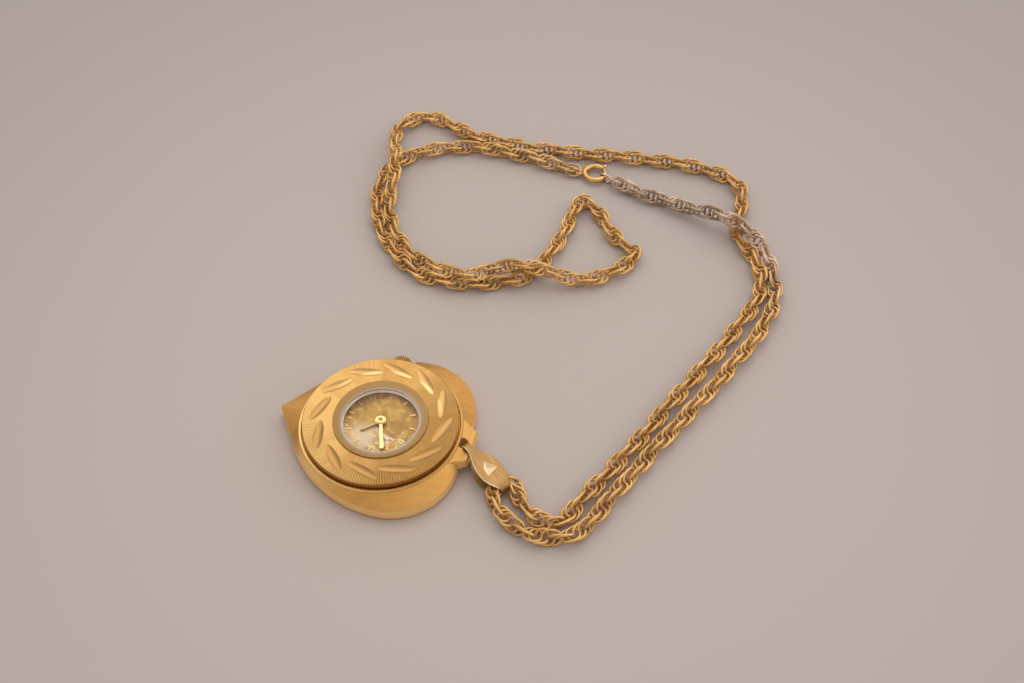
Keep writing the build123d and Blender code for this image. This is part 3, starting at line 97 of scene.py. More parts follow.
class Graph:
    """A material with its shader, and short calls that add nodes to it."""

    def __init__(self, name, colour, metallic=1.0, roughness=0.3):
        self.material = bpy.data.materials.new(name)
        self.material.use_nodes = True
        self.tree = self.material.node_tree
        self.shader = self.find("BSDF_PRINCIPLED")
        self.place = None
        self.set("Base Color", (*colour, 1.0))
        self.set("Metallic", metallic)
        self.set("Roughness", roughness)

    def find(self, kind):
        """The material's own first node of a kind."""
        return next(n for n in self.tree.nodes if n.type == kind)

    def node(self, kind, **settings):
        """A new node with its settings."""
        made = self.tree.nodes.new(kind)
        for key, value in settings.items():
            setattr(made, key, value)
        return made

    def feed(self, socket, value):
        """Links another socket to this one, or sets this one's value."""
        if isinstance(value, bpy.types.NodeSocket):
            self.tree.links.new(value, socket)
        else:
            socket.default_value = value

    def set(self, name, value):
        """Feeds one of the shader's own inputs."""
        self.feed(self.shader.inputs[name], value)

    def where(self):
        """The object's own coordinates, in metres."""
        if self.place is None:
            self.place = self.node("ShaderNodeTexCoord").outputs["Object"]
        return self.place

    def parts(self, vector):
        """A vector's X, Y and Z."""
        made = self.node("ShaderNodeSeparateXYZ")
        self.feed(made.inputs[0], vector)
        return made.outputs

    def axes(self):
        """X, Y and Z of the object's own coordinates."""
        return self.parts(self.where())

    def math(self, operation, first, second=0.0, third=0.0):
        made = self.node("ShaderNodeMath", operation=operation)
        for socket, value in zip(made.inputs, (first, second, third)):
            self.feed(socket, value)
        return made.outputs[0]

    def times(self, first, second):
        return self.math("MULTIPLY", first, second)

    def plus(self, first, second):
        return self.math("ADD", first, second)

    def line(self, value, slope, offset):
        """A value times a slope, plus an offset."""
        return self.math("MULTIPLY_ADD", value, slope, offset)

    def from_axis(self, centre=(0.0, 0.0)):
        """The distance from an upright axis through a centre."""
        x, y = self.axes()[:2]
        if any(centre):
            x, y = self.plus(x, -centre[0]), self.plus(y, -centre[1])
        return self.math("SQRT", self.plus(self.times(x, x), self.times(y, y)))

    def step(self, value, low, high, out_low=0.0, out_high=1.0):
        """A soft step of a value between two limits."""
        made = self.node("ShaderNodeMapRange", interpolation_type="SMOOTHSTEP")
        for key, number in (("Value", value), ("From Min", low), ("From Max", high),
                            ("To Min", out_low), ("To Max", out_high)):
            self.feed(made.inputs[key], number)
        return made.outputs[0]

    def turned(self, vector, degrees, scale):
        """A vector turned about Z, and then scaled along each axis."""
        turn = self.node("ShaderNodeMapping")
        self.feed(turn.inputs["Vector"], vector)
        turn.inputs["Rotation"].default_value = (0.0, 0.0, math.radians(degrees))
        stretch = self.node("ShaderNodeMapping")
        self.feed(stretch.inputs["Vector"], turn.outputs[0])
        stretch.inputs["Scale"].default_value = scale
        return stretch.outputs[0]

    def noise(self, vector, scale, detail=2.0, roughness=0.5, distortion=0.0):
        made = self.node("ShaderNodeTexNoise")
        for key, value in (("Vector", vector), ("Scale", scale), ("Detail", detail),
                           ("Roughness", roughness), ("Distortion", distortion)):
            self.feed(made.inputs[key], value)
        return made.outputs["Fac"]

    def mix(self, share, first, second):
        """A colour between two others."""
        made = self.node("ShaderNodeMix", data_type="RGBA")
        for index, value in ((0, share), (6, first), (7, second)):
            if isinstance(value, tuple) and len(value) == 3:
                value = (*value, 1.0)
            self.feed(made.inputs[index], value)
        return made.outputs[2]

    def bump(self, height, strength, depth):
        """Feeds the shader's normal with a height, as relief of a depth."""
        made = self.node("ShaderNodeBump")
        made.inputs["Strength"].default_value = strength
        made.inputs["Distance"].default_value = depth
        self.feed(made.inputs["Height"], height)
        self.set("Normal", made.outputs[0])

    def combine(self, x, y, z):
        """A vector from three values."""
        made = self.node("ShaderNodeCombineXYZ")
        for socket, value in zip(made.inputs, (x, y, z)):
            self.feed(socket, value)
        return made.outputs[0]

    def grain(self, strength=0.15):
        """Fine grain, the same on every satin metal."""
        self.bump(self.noise(self.where(), GRAIN_SCALE), strength, GRAIN_DEPTH)


def satin(name, colour, deep, roughness, metallic=1.0, strength=0.15):
    """Metal with fine grain, a little colour variation and uneven gloss."""
    g = Graph(name, colour, metallic, roughness)
    cloud = g.noise(g.where(), CLOUD_SCALE, detail=3.0)
    g.set("Base Color", g.mix(g.step(cloud, 0.3, 0.7), deep, colour))
    g.set("Roughness", g.line(cloud, GLOSS_REACH, roughness - GLOSS_REACH / 2))
    g.grain(strength)
    return g.material


# ---------------------------------------------------------------- materials
# Places in these are in the object's own coordinates: the watch's axis is at 0, 0.
GOLD = (0.65, 0.36, 0.107)
GOLD_DEEP = (0.56, 0.285, 0.076)
# painted light: a paler copy of the gold that makes the side wall brighter
GOLD_WALL_LIT = (1.0, 0.68, 0.29)
# painted shade: a darker, warmer gold at the side wall's foot, next to the floor
GOLD_SHADED_FOOT = (0.72, 0.43, 0.17)
CASE_BRUSH_TURN = 72.0
CASE_BRUSH_SCALE = (2200.0, 160.0, 400.0)
FACE_UP, WALL_UP = 0.75, 0.35
FOOT_TOP, FOOT_END = 1.3 * MM, 0.5 * MM


def case_metal():
    """Brushed gold on the sloping face, a paler gold on the side wall as painted light, and painted
    shade at the wall's foot.
    """
    g = Graph("case_gold", GOLD)
    normal = g.node("ShaderNodeNewGeometry").outputs["Normal"]
    wall = g.step(g.math("ABSOLUTE", g.parts(normal)[2]), FACE_UP, WALL_UP)
    brushed = g.noise(g.turned(g.where(), CASE_BRUSH_TURN, CASE_BRUSH_SCALE), 1.0,
                      detail=3.0, roughness=0.6)
    cloud = g.noise(g.where(), 120.0)
    tone = g.line(brushed, 0.5, g.times(cloud, 0.5))
    face = g.mix(g.step(tone, 0.35, 0.65), GOLD_DEEP, GOLD)
    # painted shade at the wall's foot, full below FOOT_END
    shaded_foot = g.step(g.line(cloud, 0.5 * MM, g.axes()[2]), FOOT_TOP, FOOT_END)
    # the side wall gets the paler gold as painted light
    g.set("Base Color", g.mix(shaded_foot, g.mix(wall, face, GOLD_WALL_LIT), GOLD_SHADED_FOOT))
    g.set("Roughness", g.plus(g.times(wall, 0.10), g.line(brushed, 0.16, 0.38)))
    g.set("Metallic", g.step(wall, 0.0, 1.0, out_low=1.0, out_high=0.75))
    brush_share = g.math("SUBTRACT", 1.0, g.times(wall, 0.8))
    g.bump(g.times(brushed, brush_share), 0.4, 0.04 * MM)
    return g.material


RADIAL_LINES = 180.0
LINES_START, LINES_FULL = 9.8 * MM, 12.6 * MM
FIELD_HEIGHT, CUT_HEIGHT = 5.44 * MM, 5.41 * MM
CUT_CIRCLE = 10.8 * MM
FIELD_DARK, FIELD_LIGHT = (0.50, 0.27, 0.078), (0.74, 0.45, 0.155)
# painted shade in the engraved grooves
GROOVE_SHADE = (0.22, 0.11, 0.03)
# painted shade and painted light on the field, by direction
FIELD_SHADE, FIELD_LIT = (0.28, 0.145, 0.04), (0.98, 0.66, 0.27)
# painted light on the leaf cuts: darker towards -Y, lighter towards +Y, and a painted highlight
CUT_SHADED_NEAR, CUT_LIT_FAR, CUT_HIGHLIGHT = (0.47, 0.26, 0.085), (0.60, 0.36, 0.13), (0.88, 0.62, 0.26)


def plate_metal():
    """The engraved ring: fine radial lines in its field, and polished leaf cuts, with painted shade
    and painted light on the field and on the cuts.
    """
    g = Graph("engraved_gold", GOLD)
    x, y, z = g.axes()
    angle = g.math("ARCTAN2", y, x)
    radius = g.from_axis()
    around = g.combine(g.math("COSINE", angle), g.math("SINE", angle), g.times(radius, 3.0))
    streak = g.noise(around, 150.0, detail=3.0, roughness=0.7)
    broad = g.noise(around, 2.2)
    lines = g.math("SINE", g.times(angle, RADIAL_LINES))
    side = g.step(y, 2.0 * MM, -9.0 * MM, out_low=0.15, out_high=1.0)
    deep = g.times(side, g.step(radius, LINES_START, LINES_FULL))
    groove = g.times(deep, g.step(lines, 0.2, 0.9))
    cut = g.step(z, FIELD_HEIGHT, CUT_HEIGHT)
    field = g.math("SUBTRACT", 1.0, cut)

    tone = g.step(g.line(broad, 0.55, g.times(streak, 0.45)), 0.36, 0.62)
    face = g.mix(tone, FIELD_DARK, FIELD_LIGHT)
    # painted shade darkens the grooves, most on the -Y side
    face = g.mix(g.times(groove, 0.6), face, GROOVE_SHADE)
    # painted shade towards +X and -Y
    shade = g.step(g.line(y, -0.5, x), -10.0 * MM, 12.0 * MM, out_high=0.7)
    face = g.mix(shade, face, FIELD_SHADE)
    # painted light towards -X and -Y
    lit = g.step(g.line(y, 0.7, x), -3.0 * MM, -15.0 * MM, out_high=0.2)
    face = g.mix(lit, face, FIELD_LIT)

    # painted shade on the cuts towards -Y, painted light towards +Y
    facet = g.mix(g.step(y, -6.0 * MM, 9.0 * MM), CUT_SHADED_NEAR, CUT_LIT_FAR)
    from_circle = g.math("ABSOLUTE", g.math("SUBTRACT", radius, CUT_CIRCLE))
    # painted highlight along the middle of the upper leaf cuts
    cut_highlight = g.times(g.step(from_circle, 0.7 * MM, 0.1 * MM), g.step(y, 2.0 * MM, 9.0 * MM))
    facet = g.mix(cut_highlight, facet, CUT_HIGHLIGHT)

    g.set("Base Color", g.mix(cut, face, facet))
    g.set("Roughness", g.line(field, 0.04, 0.32))
    g.set("Tangent", g.node("ShaderNodeTangent", direction_type="RADIAL", axis="Z").outputs[0])
    g.set("Anisotropic", g.times(field, 0.75))
    relief = g.math("SUBTRACT", g.times(streak, 0.35), groove)
    g.bump(g.times(relief, field), 1.0, 0.06 * MM)
    return g.material


def collar_metal():
    """Polished gold with painted light towards -X and -Y and painted shade towards +X and +Y."""
    g = Graph("polished_gold", GOLD, roughness=0.34)
    x, y = g.axes()[:2]
    # painted light towards -X and -Y, painted shade towards +X and +Y
    far = g.step(g.line(x, 0.8, y), -10.0 * MM, 6.0 * MM)
    g.set("Base Color", g.mix(far, (0.84, 0.53, 0.19), (0.56, 0.32, 0.10)))
    g.set("Roughness", g.line(g.noise(g.where(), CLOUD_SCALE, detail=3.0), GLOSS_REACH, 0.36))
    g.grain()
    return g.material


CAP_RIM, CAP_MIDDLE = 0.52 * MM, 0.34 * MM


def hand_metal():
    """Bright gold hand whose cap is darker in its middle."""
    g = Graph("hand_gold", GOLD, roughness=0.24)
    middle = g.step(g.from_axis(), CAP_RIM, CAP_MIDDLE)
    g.set("Base Color", g.mix(middle, (0.88, 0.64, 0.28), (0.34, 0.20, 0.07)))
    g.set("Roughness", g.line(g.noise(g.where(), 300.0), GLOSS_REACH, 0.18))
    return g.material


ACRYLIC = (0.97, 0.98, 0.98)
ACRYLIC_IOR = 1.22
RIM_CENTRE = (0.25 * MM, -0.5 * MM)
RIM_INNER, RIM_FULL = 6.7 * MM, 7.2 * MM
# radii of the rim's painted gold, which stands in for the gold seen through the crystal's edge
RIM_GOLD_START, RIM_GOLD_FULL = 6.8 * MM, 7.8 * MM


def crystal_glass():
    """Clear acrylic over the dial, with a grey-gold rim that is a painted reflection of the gold
    seen through its thick edge, that lets light through to what is below.
    """
    g = Graph("crystal_clear", ACRYLIC, 0.0, 0.03)
    radius = g.from_axis(RIM_CENTRE)
    rim = g.step(radius, RIM_INNER, RIM_FULL)
    # painted reflection: grey to gold over the rim, for the gold seen through the crystal's edge
    gold_tone = g.mix(g.step(radius, RIM_GOLD_START, RIM_GOLD_FULL), (0.50, 0.37, 0.26), (0.52, 0.31, 0.11))
    haze = g.noise(g.where(), 350.0, detail=3.0)
    g.set("Base Color", g.mix(rim, ACRYLIC, gold_tone))
    g.set("Specular IOR Level", g.step(rim, 0.0, 1.0, out_low=0.05, out_high=0.4))
    g.set("Transmission Weight", g.step(rim, 0.0, 1.0, out_low=1.0, out_high=0.2))
    g.set("IOR", ACRYLIC_IOR)
    g.set("Roughness", g.line(rim, 0.25, g.step(haze, 0.45, 0.8, out_low=0.02, out_high=0.10)))
    blend = g.node("ShaderNodeMixShader")
    for socket, value in zip(blend.inputs, (
        g.node("ShaderNodeLightPath").outputs["Is Shadow Ray"],
        g.shader.outputs[0],
        g.node("ShaderNodeBsdfTransparent").outputs[0],
    )):
        g.feed(socket, value)
    g.feed(g.find("OUTPUT_MATERIAL").inputs[0], blend.outputs[0])
    return g.material


GILT_DARK, GILT_LIGHT, GILT_WORN = (0.27, 0.142, 0.028), (0.55, 0.325, 0.078), (0.84, 0.70, 0.55)
HAZE_CENTRE = (-2.2 * MM, -3.6 * MM)
HAZE_EDGE, HAZE_FULL = 5.8 * MM, 2.6 * MM


def dial_metal():
    """Gilt dial of uneven tone, with a worn pale haze and scratches in its lower half."""
    g = Graph("dial_gilt_worn", (0.62, 0.44, 0.16), 0.8, 0.38)
    patch = g.noise(g.where(), 420.0, detail=4.0, roughness=0.6, distortion=0.6)
    fine = g.noise(g.where(), 2600.0)
    gold_tone = g.mix(g.step(patch, 0.35, 0.68), GILT_DARK, GILT_LIGHT)
    streaks = g.noise(g.turned(g.where(), 25.0, (420.0, 900.0, 400.0)), 1.0,
                      detail=4.0, roughness=0.68, distortion=1.4)
    away = g.line(patch, 4.0 * MM, g.from_axis(HAZE_CENTRE))
    haze = g.step(away, HAZE_EDGE, HAZE_FULL, out_high=0.5)
    lower = g.step(g.axes()[1], 0.0, -2.6 * MM)
    scratched = g.times(g.step(streaks, 0.48, 0.62), lower)
    worn = g.math("MAXIMUM", haze, g.times(scratched, 0.8))
    g.set("Base Color", g.mix(worn, gold_tone, GILT_WORN))
    g.set("Metallic", g.step(worn, 0.0, 1.0, out_low=0.8, out_high=0.35))
    g.set("Roughness", g.step(patch, 0.3, 0.7, out_low=0.30, out_high=0.48))
    g.bump(g.line(patch, 0.7, g.times(fine, 0.3)), 0.5, 0.06 * MM)
    return g.material


WIRE_DARK, WIRE_LIGHT = (0.60, 0.345, 0.115), (0.80, 0.50, 0.195)
BARE_DARK, BARE_LIGHT = (0.42, 0.30, 0.20), (0.74, 0.56, 0.41)
SHORT_WEAR_START, SHORT_WEAR_FULL = 48.0 * MM, 74.0 * MM
CLASP_LINE_Y = 78.5 * MM
CLASP_LINE_EDGE, CLASP_LINE_FULL = 2.8 * MM, 1.8 * MM
LONG_WEAR = 0.35


def chain_metal(name, pale):
    """Gold wire, worn bare beside the clasp: wholly on the short run, faintly on the long one."""
    g = Graph(name, GOLD, 0.8)
    cloud = g.noise(g.where(), 260.0, detail=3.0)
    gold = g.mix(g.step(cloud, 0.35, 0.7), WIRE_DARK, WIRE_LIGHT)
    x, y = g.axes()[:2]
    if pale:
        share = g.step(g.line(cloud, 12.0 * MM, y), SHORT_WEAR_START, SHORT_WEAR_FULL)
    else:
        from_line = g.math("ABSOLUTE", g.math("SUBTRACT", y, CLASP_LINE_Y))
        share = g.times(g.step(g.line(cloud, 6.0 * MM, x), 0.0, 16.0 * MM),
                        g.step(from_line, CLASP_LINE_EDGE, CLASP_LINE_FULL))
        share = g.times(share, g.times(g.step(x, 20.0 * MM, 18.0 * MM), LONG_WEAR))
    worn = g.mix(g.step(cloud, 0.4, 0.65), BARE_DARK, BARE_LIGHT)
    g.set("Base Color", g.mix(share, gold, worn))
    g.set("Roughness", g.line(cloud, 0.18, 0.31))
    g.bump(g.noise(g.where(), 3500.0), 0.12, GRAIN_DEPTH)
    return g.material


STRIP_TURN = 33.0
STRIP_SCALE = (300.0, 3600.0, 1200.0)


def bail_metal():
    """Rose-gold satin with fine lines along the strip."""
    g = Graph("bail_rose_satin", (0.62, 0.36, 0.15), roughness=0.46)
    along = g.noise(g.turned(g.where(), STRIP_TURN, STRIP_SCALE), 1.0, detail=3.0, roughness=0.6)
    tone = g.line(along, 0.65, g.times(g.noise(g.where(), 300.0), 0.35))
    g.set("Base Color", g.mix(g.step(tone, 0.36, 0.64), (0.38, 0.21, 0.083), (0.53, 0.32, 0.135)))
    g.set("Roughness", g.line(along, 0.14, 0.40))
    g.bump(along, 0.6, 0.04 * MM)
    return g.material


case_gold = case_metal()
engraved_gold = plate_metal()
crystal_clear = crystal_glass()
dial_gilt = dial_metal()
bail_rose = bail_metal()
polished_gold = collar_metal()
hand_gold = hand_metal()
hour_gold = satin("hour_hand_gold", (0.70, 0.46, 0.18), (0.56, 0.34, 0.12), 0.40, metallic=0.35)
marker_gold = satin("marker_gold", (0.74, 0.49, 0.18), (0.60, 0.37, 0.12), 0.32)
crown_gold = satin("crown_gold", (0.52, 0.31, 0.12), (0.40, 0.23, 0.08), 0.40)
# painted reflection: a near-white, mostly diffuse ring that stands in for the bright reflection
# inside the crystal
ring_painted_reflection = satin("ring_painted_reflection", (0.90, 0.82, 0.74), (0.72, 0.62, 0.52), 0.16, metallic=0.2)
chain_gold = chain_metal("chain_gold_wire", False)
chain_worn = chain_metal("chain_worn_wire", True)
pale_metal = satin("pale_metal", (0.66, 0.60, 0.48), (0.50, 0.44, 0.34), 0.24)
clasp_gold = satin("clasp_gold", (0.78, 0.50, 0.19), (0.66, 0.39, 0.13), 0.30)
plate_brass = satin("movement_brass", (0.72, 0.60, 0.34), (0.60, 0.48, 0.24), 0.32)
steel = satin("movement_steel_satin", (0.62, 0.63, 0.65), (0.48, 0.49, 0.51), 0.26)
holder_white = satin("holder_white", (0.74, 0.74, 0.72), (0.66, 0.66, 0.63), 0.5,
                     metallic=0.0, strength=0.1)
ruby = satin("jewel_ruby", (0.55, 0.04, 0.09), (0.40, 0.02, 0.05), 0.12,
             metallic=0.0, strength=0.05)

NODE_METALS = {
    case_gold: ["heart_case", "case_back", "lug"],
    engraved_gold: ["engraved_plate"],
    polished_gold: ["collar_ring"],
    marker_gold: ["dial_markers"],
    crystal_clear: ["crystal"],
    ring_painted_reflection: ["bright_ring"],
    dial_gilt: ["dial"],
    hand_gold: ["minute_hand"],
    hour_gold: ["hour_hand"],
    crown_gold: ["crown"],
    bail_rose: ["bail"],
    clasp_gold: ["clasp_ring", "clasp_trigger", "jump_ring"],
    pale_metal: ["jump_link"],
    plate_brass: ["main_plate", "barrel_bridge", "train_bridge", "balance_cock", "pallet_bridge",
                  "barrel", "centre_wheel", "third_wheel", "fourth_wheel", "minute_wheel",
                  "hour_wheel", "balance_wheel"],
    steel: ["movement_screws", "mainspring", "barrel_arbor", "ratchet_wheel", "crown_wheel",
            "click", "escape_wheel", "pallet_fork", "hairspring", "cannon_pinion",
            "winding_pinion", "clutch", "winding_stem", "setting_lever", "clasp_spring"],
    holder_white: ["movement_holder"],
    ruby: ["jewels"],
}
for metal, names in NODE_METALS.items():
    for name in names:
        cad = node[name]
        if not cad.material_slots:
            cad.data.materials.append(metal)
        for slot in cad.material_slots:
            slot.material = metal


# ---------------------------------------------------------------- bail
MERGE = 0.002 * MM
FLAT_ANGLE = math.radians(1.0)
CREASE_ANGLE = math.radians(4.0)
SHARP_ANGLE = math.radians(50.0)
EDGE_WIDTH = 0.13 * MM
FACES_UP = 0.8                                   # a face points up if its normal's Z is more
CUT_MIDDLE = mm(21.0, -3.7, 3.6)
CUT_REACH = 1.9 * MM
CUT_LEAN = math.radians(3.0)
# steep cut facets get the painted glint, the others a paler painted light
STEEP_LEAN = 0.3                                 # a facet is bright if its normal's X is more
UPPER_LEG = 2.0 * MM                             # the strip's upper leg lies above this height
STRIP_NEAR = Vector((-0.545, -0.84, 0.0))        # from the strip's middle to its near edge
STRIP_NORMAL = Vector((0.109, -0.071, 0.992))    # of the upper leg's top face
FACE_METAL, EDGE_HIGHLIGHT, CUT_LIT_METAL, GLINT_METAL = range(4)


def sharp_edges(shape):
    """The edges where two faces meet at a sharp angle."""
    return [e for e in shape.edges
            if len(e.link_faces) == 2 and e.calc_face_angle(0.0) > SHARP_ANGLE]


def is_bright(edge):
    """Whether an edge is on the upper leg's top, on the strip's near side."""
    ends = edge.verts
    faces_up = max(f.normal.z for f in edge.link_faces) > FACES_UP
    near_side = ((ends[0].co + ends[1].co) / 2 - CUT_MIDDLE).dot(STRIP_NEAR) > 0.0
    return faces_up and ends[0].co.z > UPPER_LEG and near_side


def cut_metal(face):
    """The metal of one face of the bail, by whether it is a facet of the slanting cut."""
    near = (face.calc_center_median() - CUT_MIDDLE).length < CUT_REACH
    # facets of the cut get painted light: a paler gold, and a painted glint on the steep ones
    if near and face.normal.z > FACES_UP and face.normal.angle(STRIP_NORMAL) > CUT_LEAN:
        return GLINT_METAL if face.normal.x > STEEP_LEAN else CUT_LIT_METAL
    return FACE_METAL


def edged_copy(name, source, metals):
    """A copy of the bail with a painted highlight on its near edge, rounded other edges, and
    painted light and glint on the facets in its cut.
    """
    cad = node[source]
    shape = bmesh.new()
    shape.from_mesh(cad.data)
    bmesh.ops.remove_doubles(shape, verts=shape.verts, dist=MERGE)
    bmesh.ops.dissolve_limit(shape, angle_limit=FLAT_ANGLE, verts=shape.verts, edges=shape.edges)
    for face in shape.faces:
        face.material_index = cut_metal(face)
        face.smooth = True
    for edge in shape.edges:
        edge.smooth = len(edge.link_faces) == 2 and edge.calc_face_angle(0.0) < CREASE_ANGLE
    bright = [e for e in sharp_edges(shape) if is_bright(e)]
    bmesh.ops.bevel(shape, geom=bright, offset=EDGE_WIDTH, segments=2, profile=0.5,
                    affect="EDGES", clamp_overlap=False, material=EDGE_HIGHLIGHT)
    bmesh.ops.bevel(shape, geom=sharp_edges(shape), offset=EDGE_WIDTH / 2, segments=2, profile=0.5,
                    affect="EDGES", clamp_overlap=True, material=FACE_METAL)
    mesh = bpy.data.meshes.new(name)
    shape.to_mesh(mesh)
    shape.free()
    for metal in metals:
        mesh.materials.append(metal)
    piece = add_object(name, mesh)
    piece.matrix_world = cad.matrix_world.copy()
    return piece


# painted highlight: near-white colour on the bail's near top edges
bail_highlight_edge = satin("bail_painted_edge_highlight", (1.0, 0.92, 0.80), (0.92, 0.80, 0.64), 0.22, metallic=0.4)
# painted light on the cut facets, and a painted glint on the steepest
bail_lit_cut = satin("bail_painted_cut_light", (0.76, 0.55, 0.32), (0.66, 0.46, 0.25), 0.38)
bail_painted_glint = satin("bail_painted_cut_glint", (1.0, 0.90, 0.62), (0.94, 0.80, 0.50), 0.2, metallic=0.4)
bail_piece = edged_copy("bail_with_fine_edges", "bail",
                        (bail_rose, bail_highlight_edge, bail_lit_cut, bail_painted_glint))
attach(bail_piece, "bail")
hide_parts("bail")


# ---------------------------------------------------------------- chain
# The routes repeat the part's, in millimetres, with points moved to the photograph's lines.
BAIL_END = (24.25, -4.4, 1.85)
LONG_ROUTE = [
    BAIL_END, (25.05, -3.85, 1.8), (25.85, -4.0, 1.7), (26.35, -4.7, 1.6), (26.55, -5.5, 1.55),
    (26.9, -6.5, 1.5), (29.5, -9.3, 1.5), (33.0, -10.9, 1.5), (36.3, -9.2, 1.5), (38.3, -3.6, 1.5),
    (43.4, 7.0, 1.5), (50.3, 23.9, 1.5), (57.5, 40.6, 1.5), (61.8, 54.1, 1.5), (57.3, 63.0, 1.5),
    (53.2, 67.7, 1.5), (53.5, 74.5, 1.5), (53.3, 81.1, 1.5), (48.4, 84.8, 1.5), (40.9, 86.0, 1.5),
    (28.9, 85.1, 1.5), (13.8, 82.9, 1.5), (1.5, 81.9, 1.5), (-9.3, 83.1, 1.5), (-19.2, 87.6, 1.6),
    (-24.4, 82.0, 1.5), (-23.2, 75.0, 3.3), (-19.8, 66.5, 4.6), (-19.0, 58.3, 1.6),
    (-14.7, 48.4, 1.9), (-6.4, 41.9, 1.6), (4.2, 39.3, 3.2), (9.3, 45.0, 1.8), (14.2, 44.2, 5.0),
    (19.3, 45.0, 3.2), (24.8, 45.5, 1.6), (31.3, 49.0, 1.7), (35.4, 55.9, 1.5), (32.9, 57.9, 1.5),
    (29.1, 60.2, 1.5), (25.9, 64.9, 1.5), (23.1, 68.2, 1.5), (20.1, 68.8, 1.5), (19.8, 62.9, 1.5),
    (18.8, 54.6, 1.5), (16.2, 44.5, 1.5), (9.5, 40.8, 1.5), (1.7, 38.7, 1.5), (-6.0, 38.8, 1.5),
    (-13.9, 44.3, 1.5), (-20.1, 53.3, 1.5), (-22.4, 61.7, 1.5), (-21.9, 68.8, 1.5),
    (-18.0, 73.9, 1.5), (-11.3, 78.1, 1.5), (-2.9, 79.7, 1.5), (5.9, 79.2, 1.5), (11.1, 78.6, 1.5),
    (17.2, 77.8, 1.3),
]
SHORT_ROUTE = [
    BAIL_END, (23.6, -5.45, 1.85), (22.95, -6.5, 1.8), (22.6, -8.0, 1.5), (25.3, -11.0, 1.5),
    (29.2, -13.2, 1.5), (34.3, -13.7, 1.5), (38.6, -11.9, 1.5), (40.8, -7.5, 1.5),
    (43.3, -1.4, 1.5), (48.6, 10.9, 1.5), (56.5, 27.7, 1.5), (63.5, 44.9, 1.5), (63.8, 54.3, 1.6),
    (61.1, 61.8, 1.5), (56.1, 66.5, 4.7), (49.1, 69.8, 3.9), (40.4, 72.7, 1.5), (31.3, 74.3, 1.7),
    (25.6, 76.7, 1.4),
]
CURVE_STEPS = 16
LINK_PITCH = 1.08 * MM
LINK_HALF_LENGTH = 1.65 * MM
LINK_HALF_WIDTH = 1.36 * MM
WIRE_RADIUS = 0.27 * MM
OVAL_POWER = 2.5           # 2 is an ellipse, and more is squarer
AIM_SHARE = 0.7            # of the half length, over which a link takes its direction
LINK_TURN = 30.0           # degrees from one link to the next
LINK_SPREAD = 22.0         # degrees more for every second link
LINK_OFFSET = 0.14 * MM
TIGHT_SHARE = 0.78         # of the full width, where the chain starts inside the bail
TIGHT_REACH = 7.0 * MM     # from there to the first link of full width
LINK_STEPS = 24
WIRE_STEPS = 8


def spline_points(name, route):
    """The points of the smooth curve through a route's control points."""
    data = bpy.data.curves.new(name, "CURVE")
    data.dimensions = "3D"
    data.resolution_u = CURVE_STEPS
    spline = data.splines.new("NURBS")
    spline.points.add(len(route) - 1)
    for point, spot in zip(spline.points, route):
        point.co = (*mm(*spot), 1.0)
    spline.order_u = 3
    spline.use_endpoint_u = True
    holder = add_object(name, data)
    mesh = bpy.data.meshes.new_from_object(holder)
    points = [v.co.copy() for v in mesh.vertices]
    bpy.data.objects.remove(holder)
    bpy.data.meshes.remove(mesh)
    return points


class Path:
    """Places along a polyline, by distance."""

    def __init__(self, points):
        self.points = points
        self.reach = [0.0]
        for first, second in zip(points, points[1:]):
            self.reach.append(self.reach[-1] + (second - first).length)
        self.length = self.reach[-1]

    def at(self, distance):
        """The place at a distance from the start, held to the polyline's ends."""
        distance = min(max(distance, 0.0), self.length)
        low = min(bisect_right(self.reach, distance), len(self.reach) - 1) - 1
        span = self.reach[low + 1] - self.reach[low]
        share = (distance - self.reach[low]) / span if span else 0.0
        return self.points[low].lerp(self.points[low + 1], share)


def link_points(centre, along, side, third, half_length, half_width):
    """The points of one oval wire link, ring by ring of its wire, none below the floor."""
    points = []
    for index in range(LINK_STEPS):
        angle = 2 * math.pi * index / LINK_STEPS
        c, s = math.cos(angle), math.sin(angle)
        stretch = 1.0 / (abs(c) ** OVAL_POWER + abs(s) ** OVAL_POWER) ** (1.0 / OVAL_POWER)
        spot = centre + along * (half_length * c * stretch) + side * (half_width * s * stretch)
        spot.z = max(spot.z, WIRE_RADIUS)
        out = (along * (c / half_length) + side * (s / half_width)).normalized()
        for step in range(WIRE_STEPS):
            turn = 2 * math.pi * step / WIRE_STEPS
            points.append(spot + (out * math.cos(turn) + third * math.sin(turn)) * WIRE_RADIUS)
    return points


def link_faces(base):
    """The faces of one link, whose points start at a number."""
    faces = []
    for i in range(LINK_STEPS):
        j = (i + 1) % LINK_STEPS
        for k in range(WIRE_STEPS):
            m = (k + 1) % WIRE_STEPS
            faces.append((base + i * WIRE_STEPS + k, base + j * WIRE_STEPS + k,
                          base + j * WIRE_STEPS + m, base + i * WIRE_STEPS + m))
    return faces


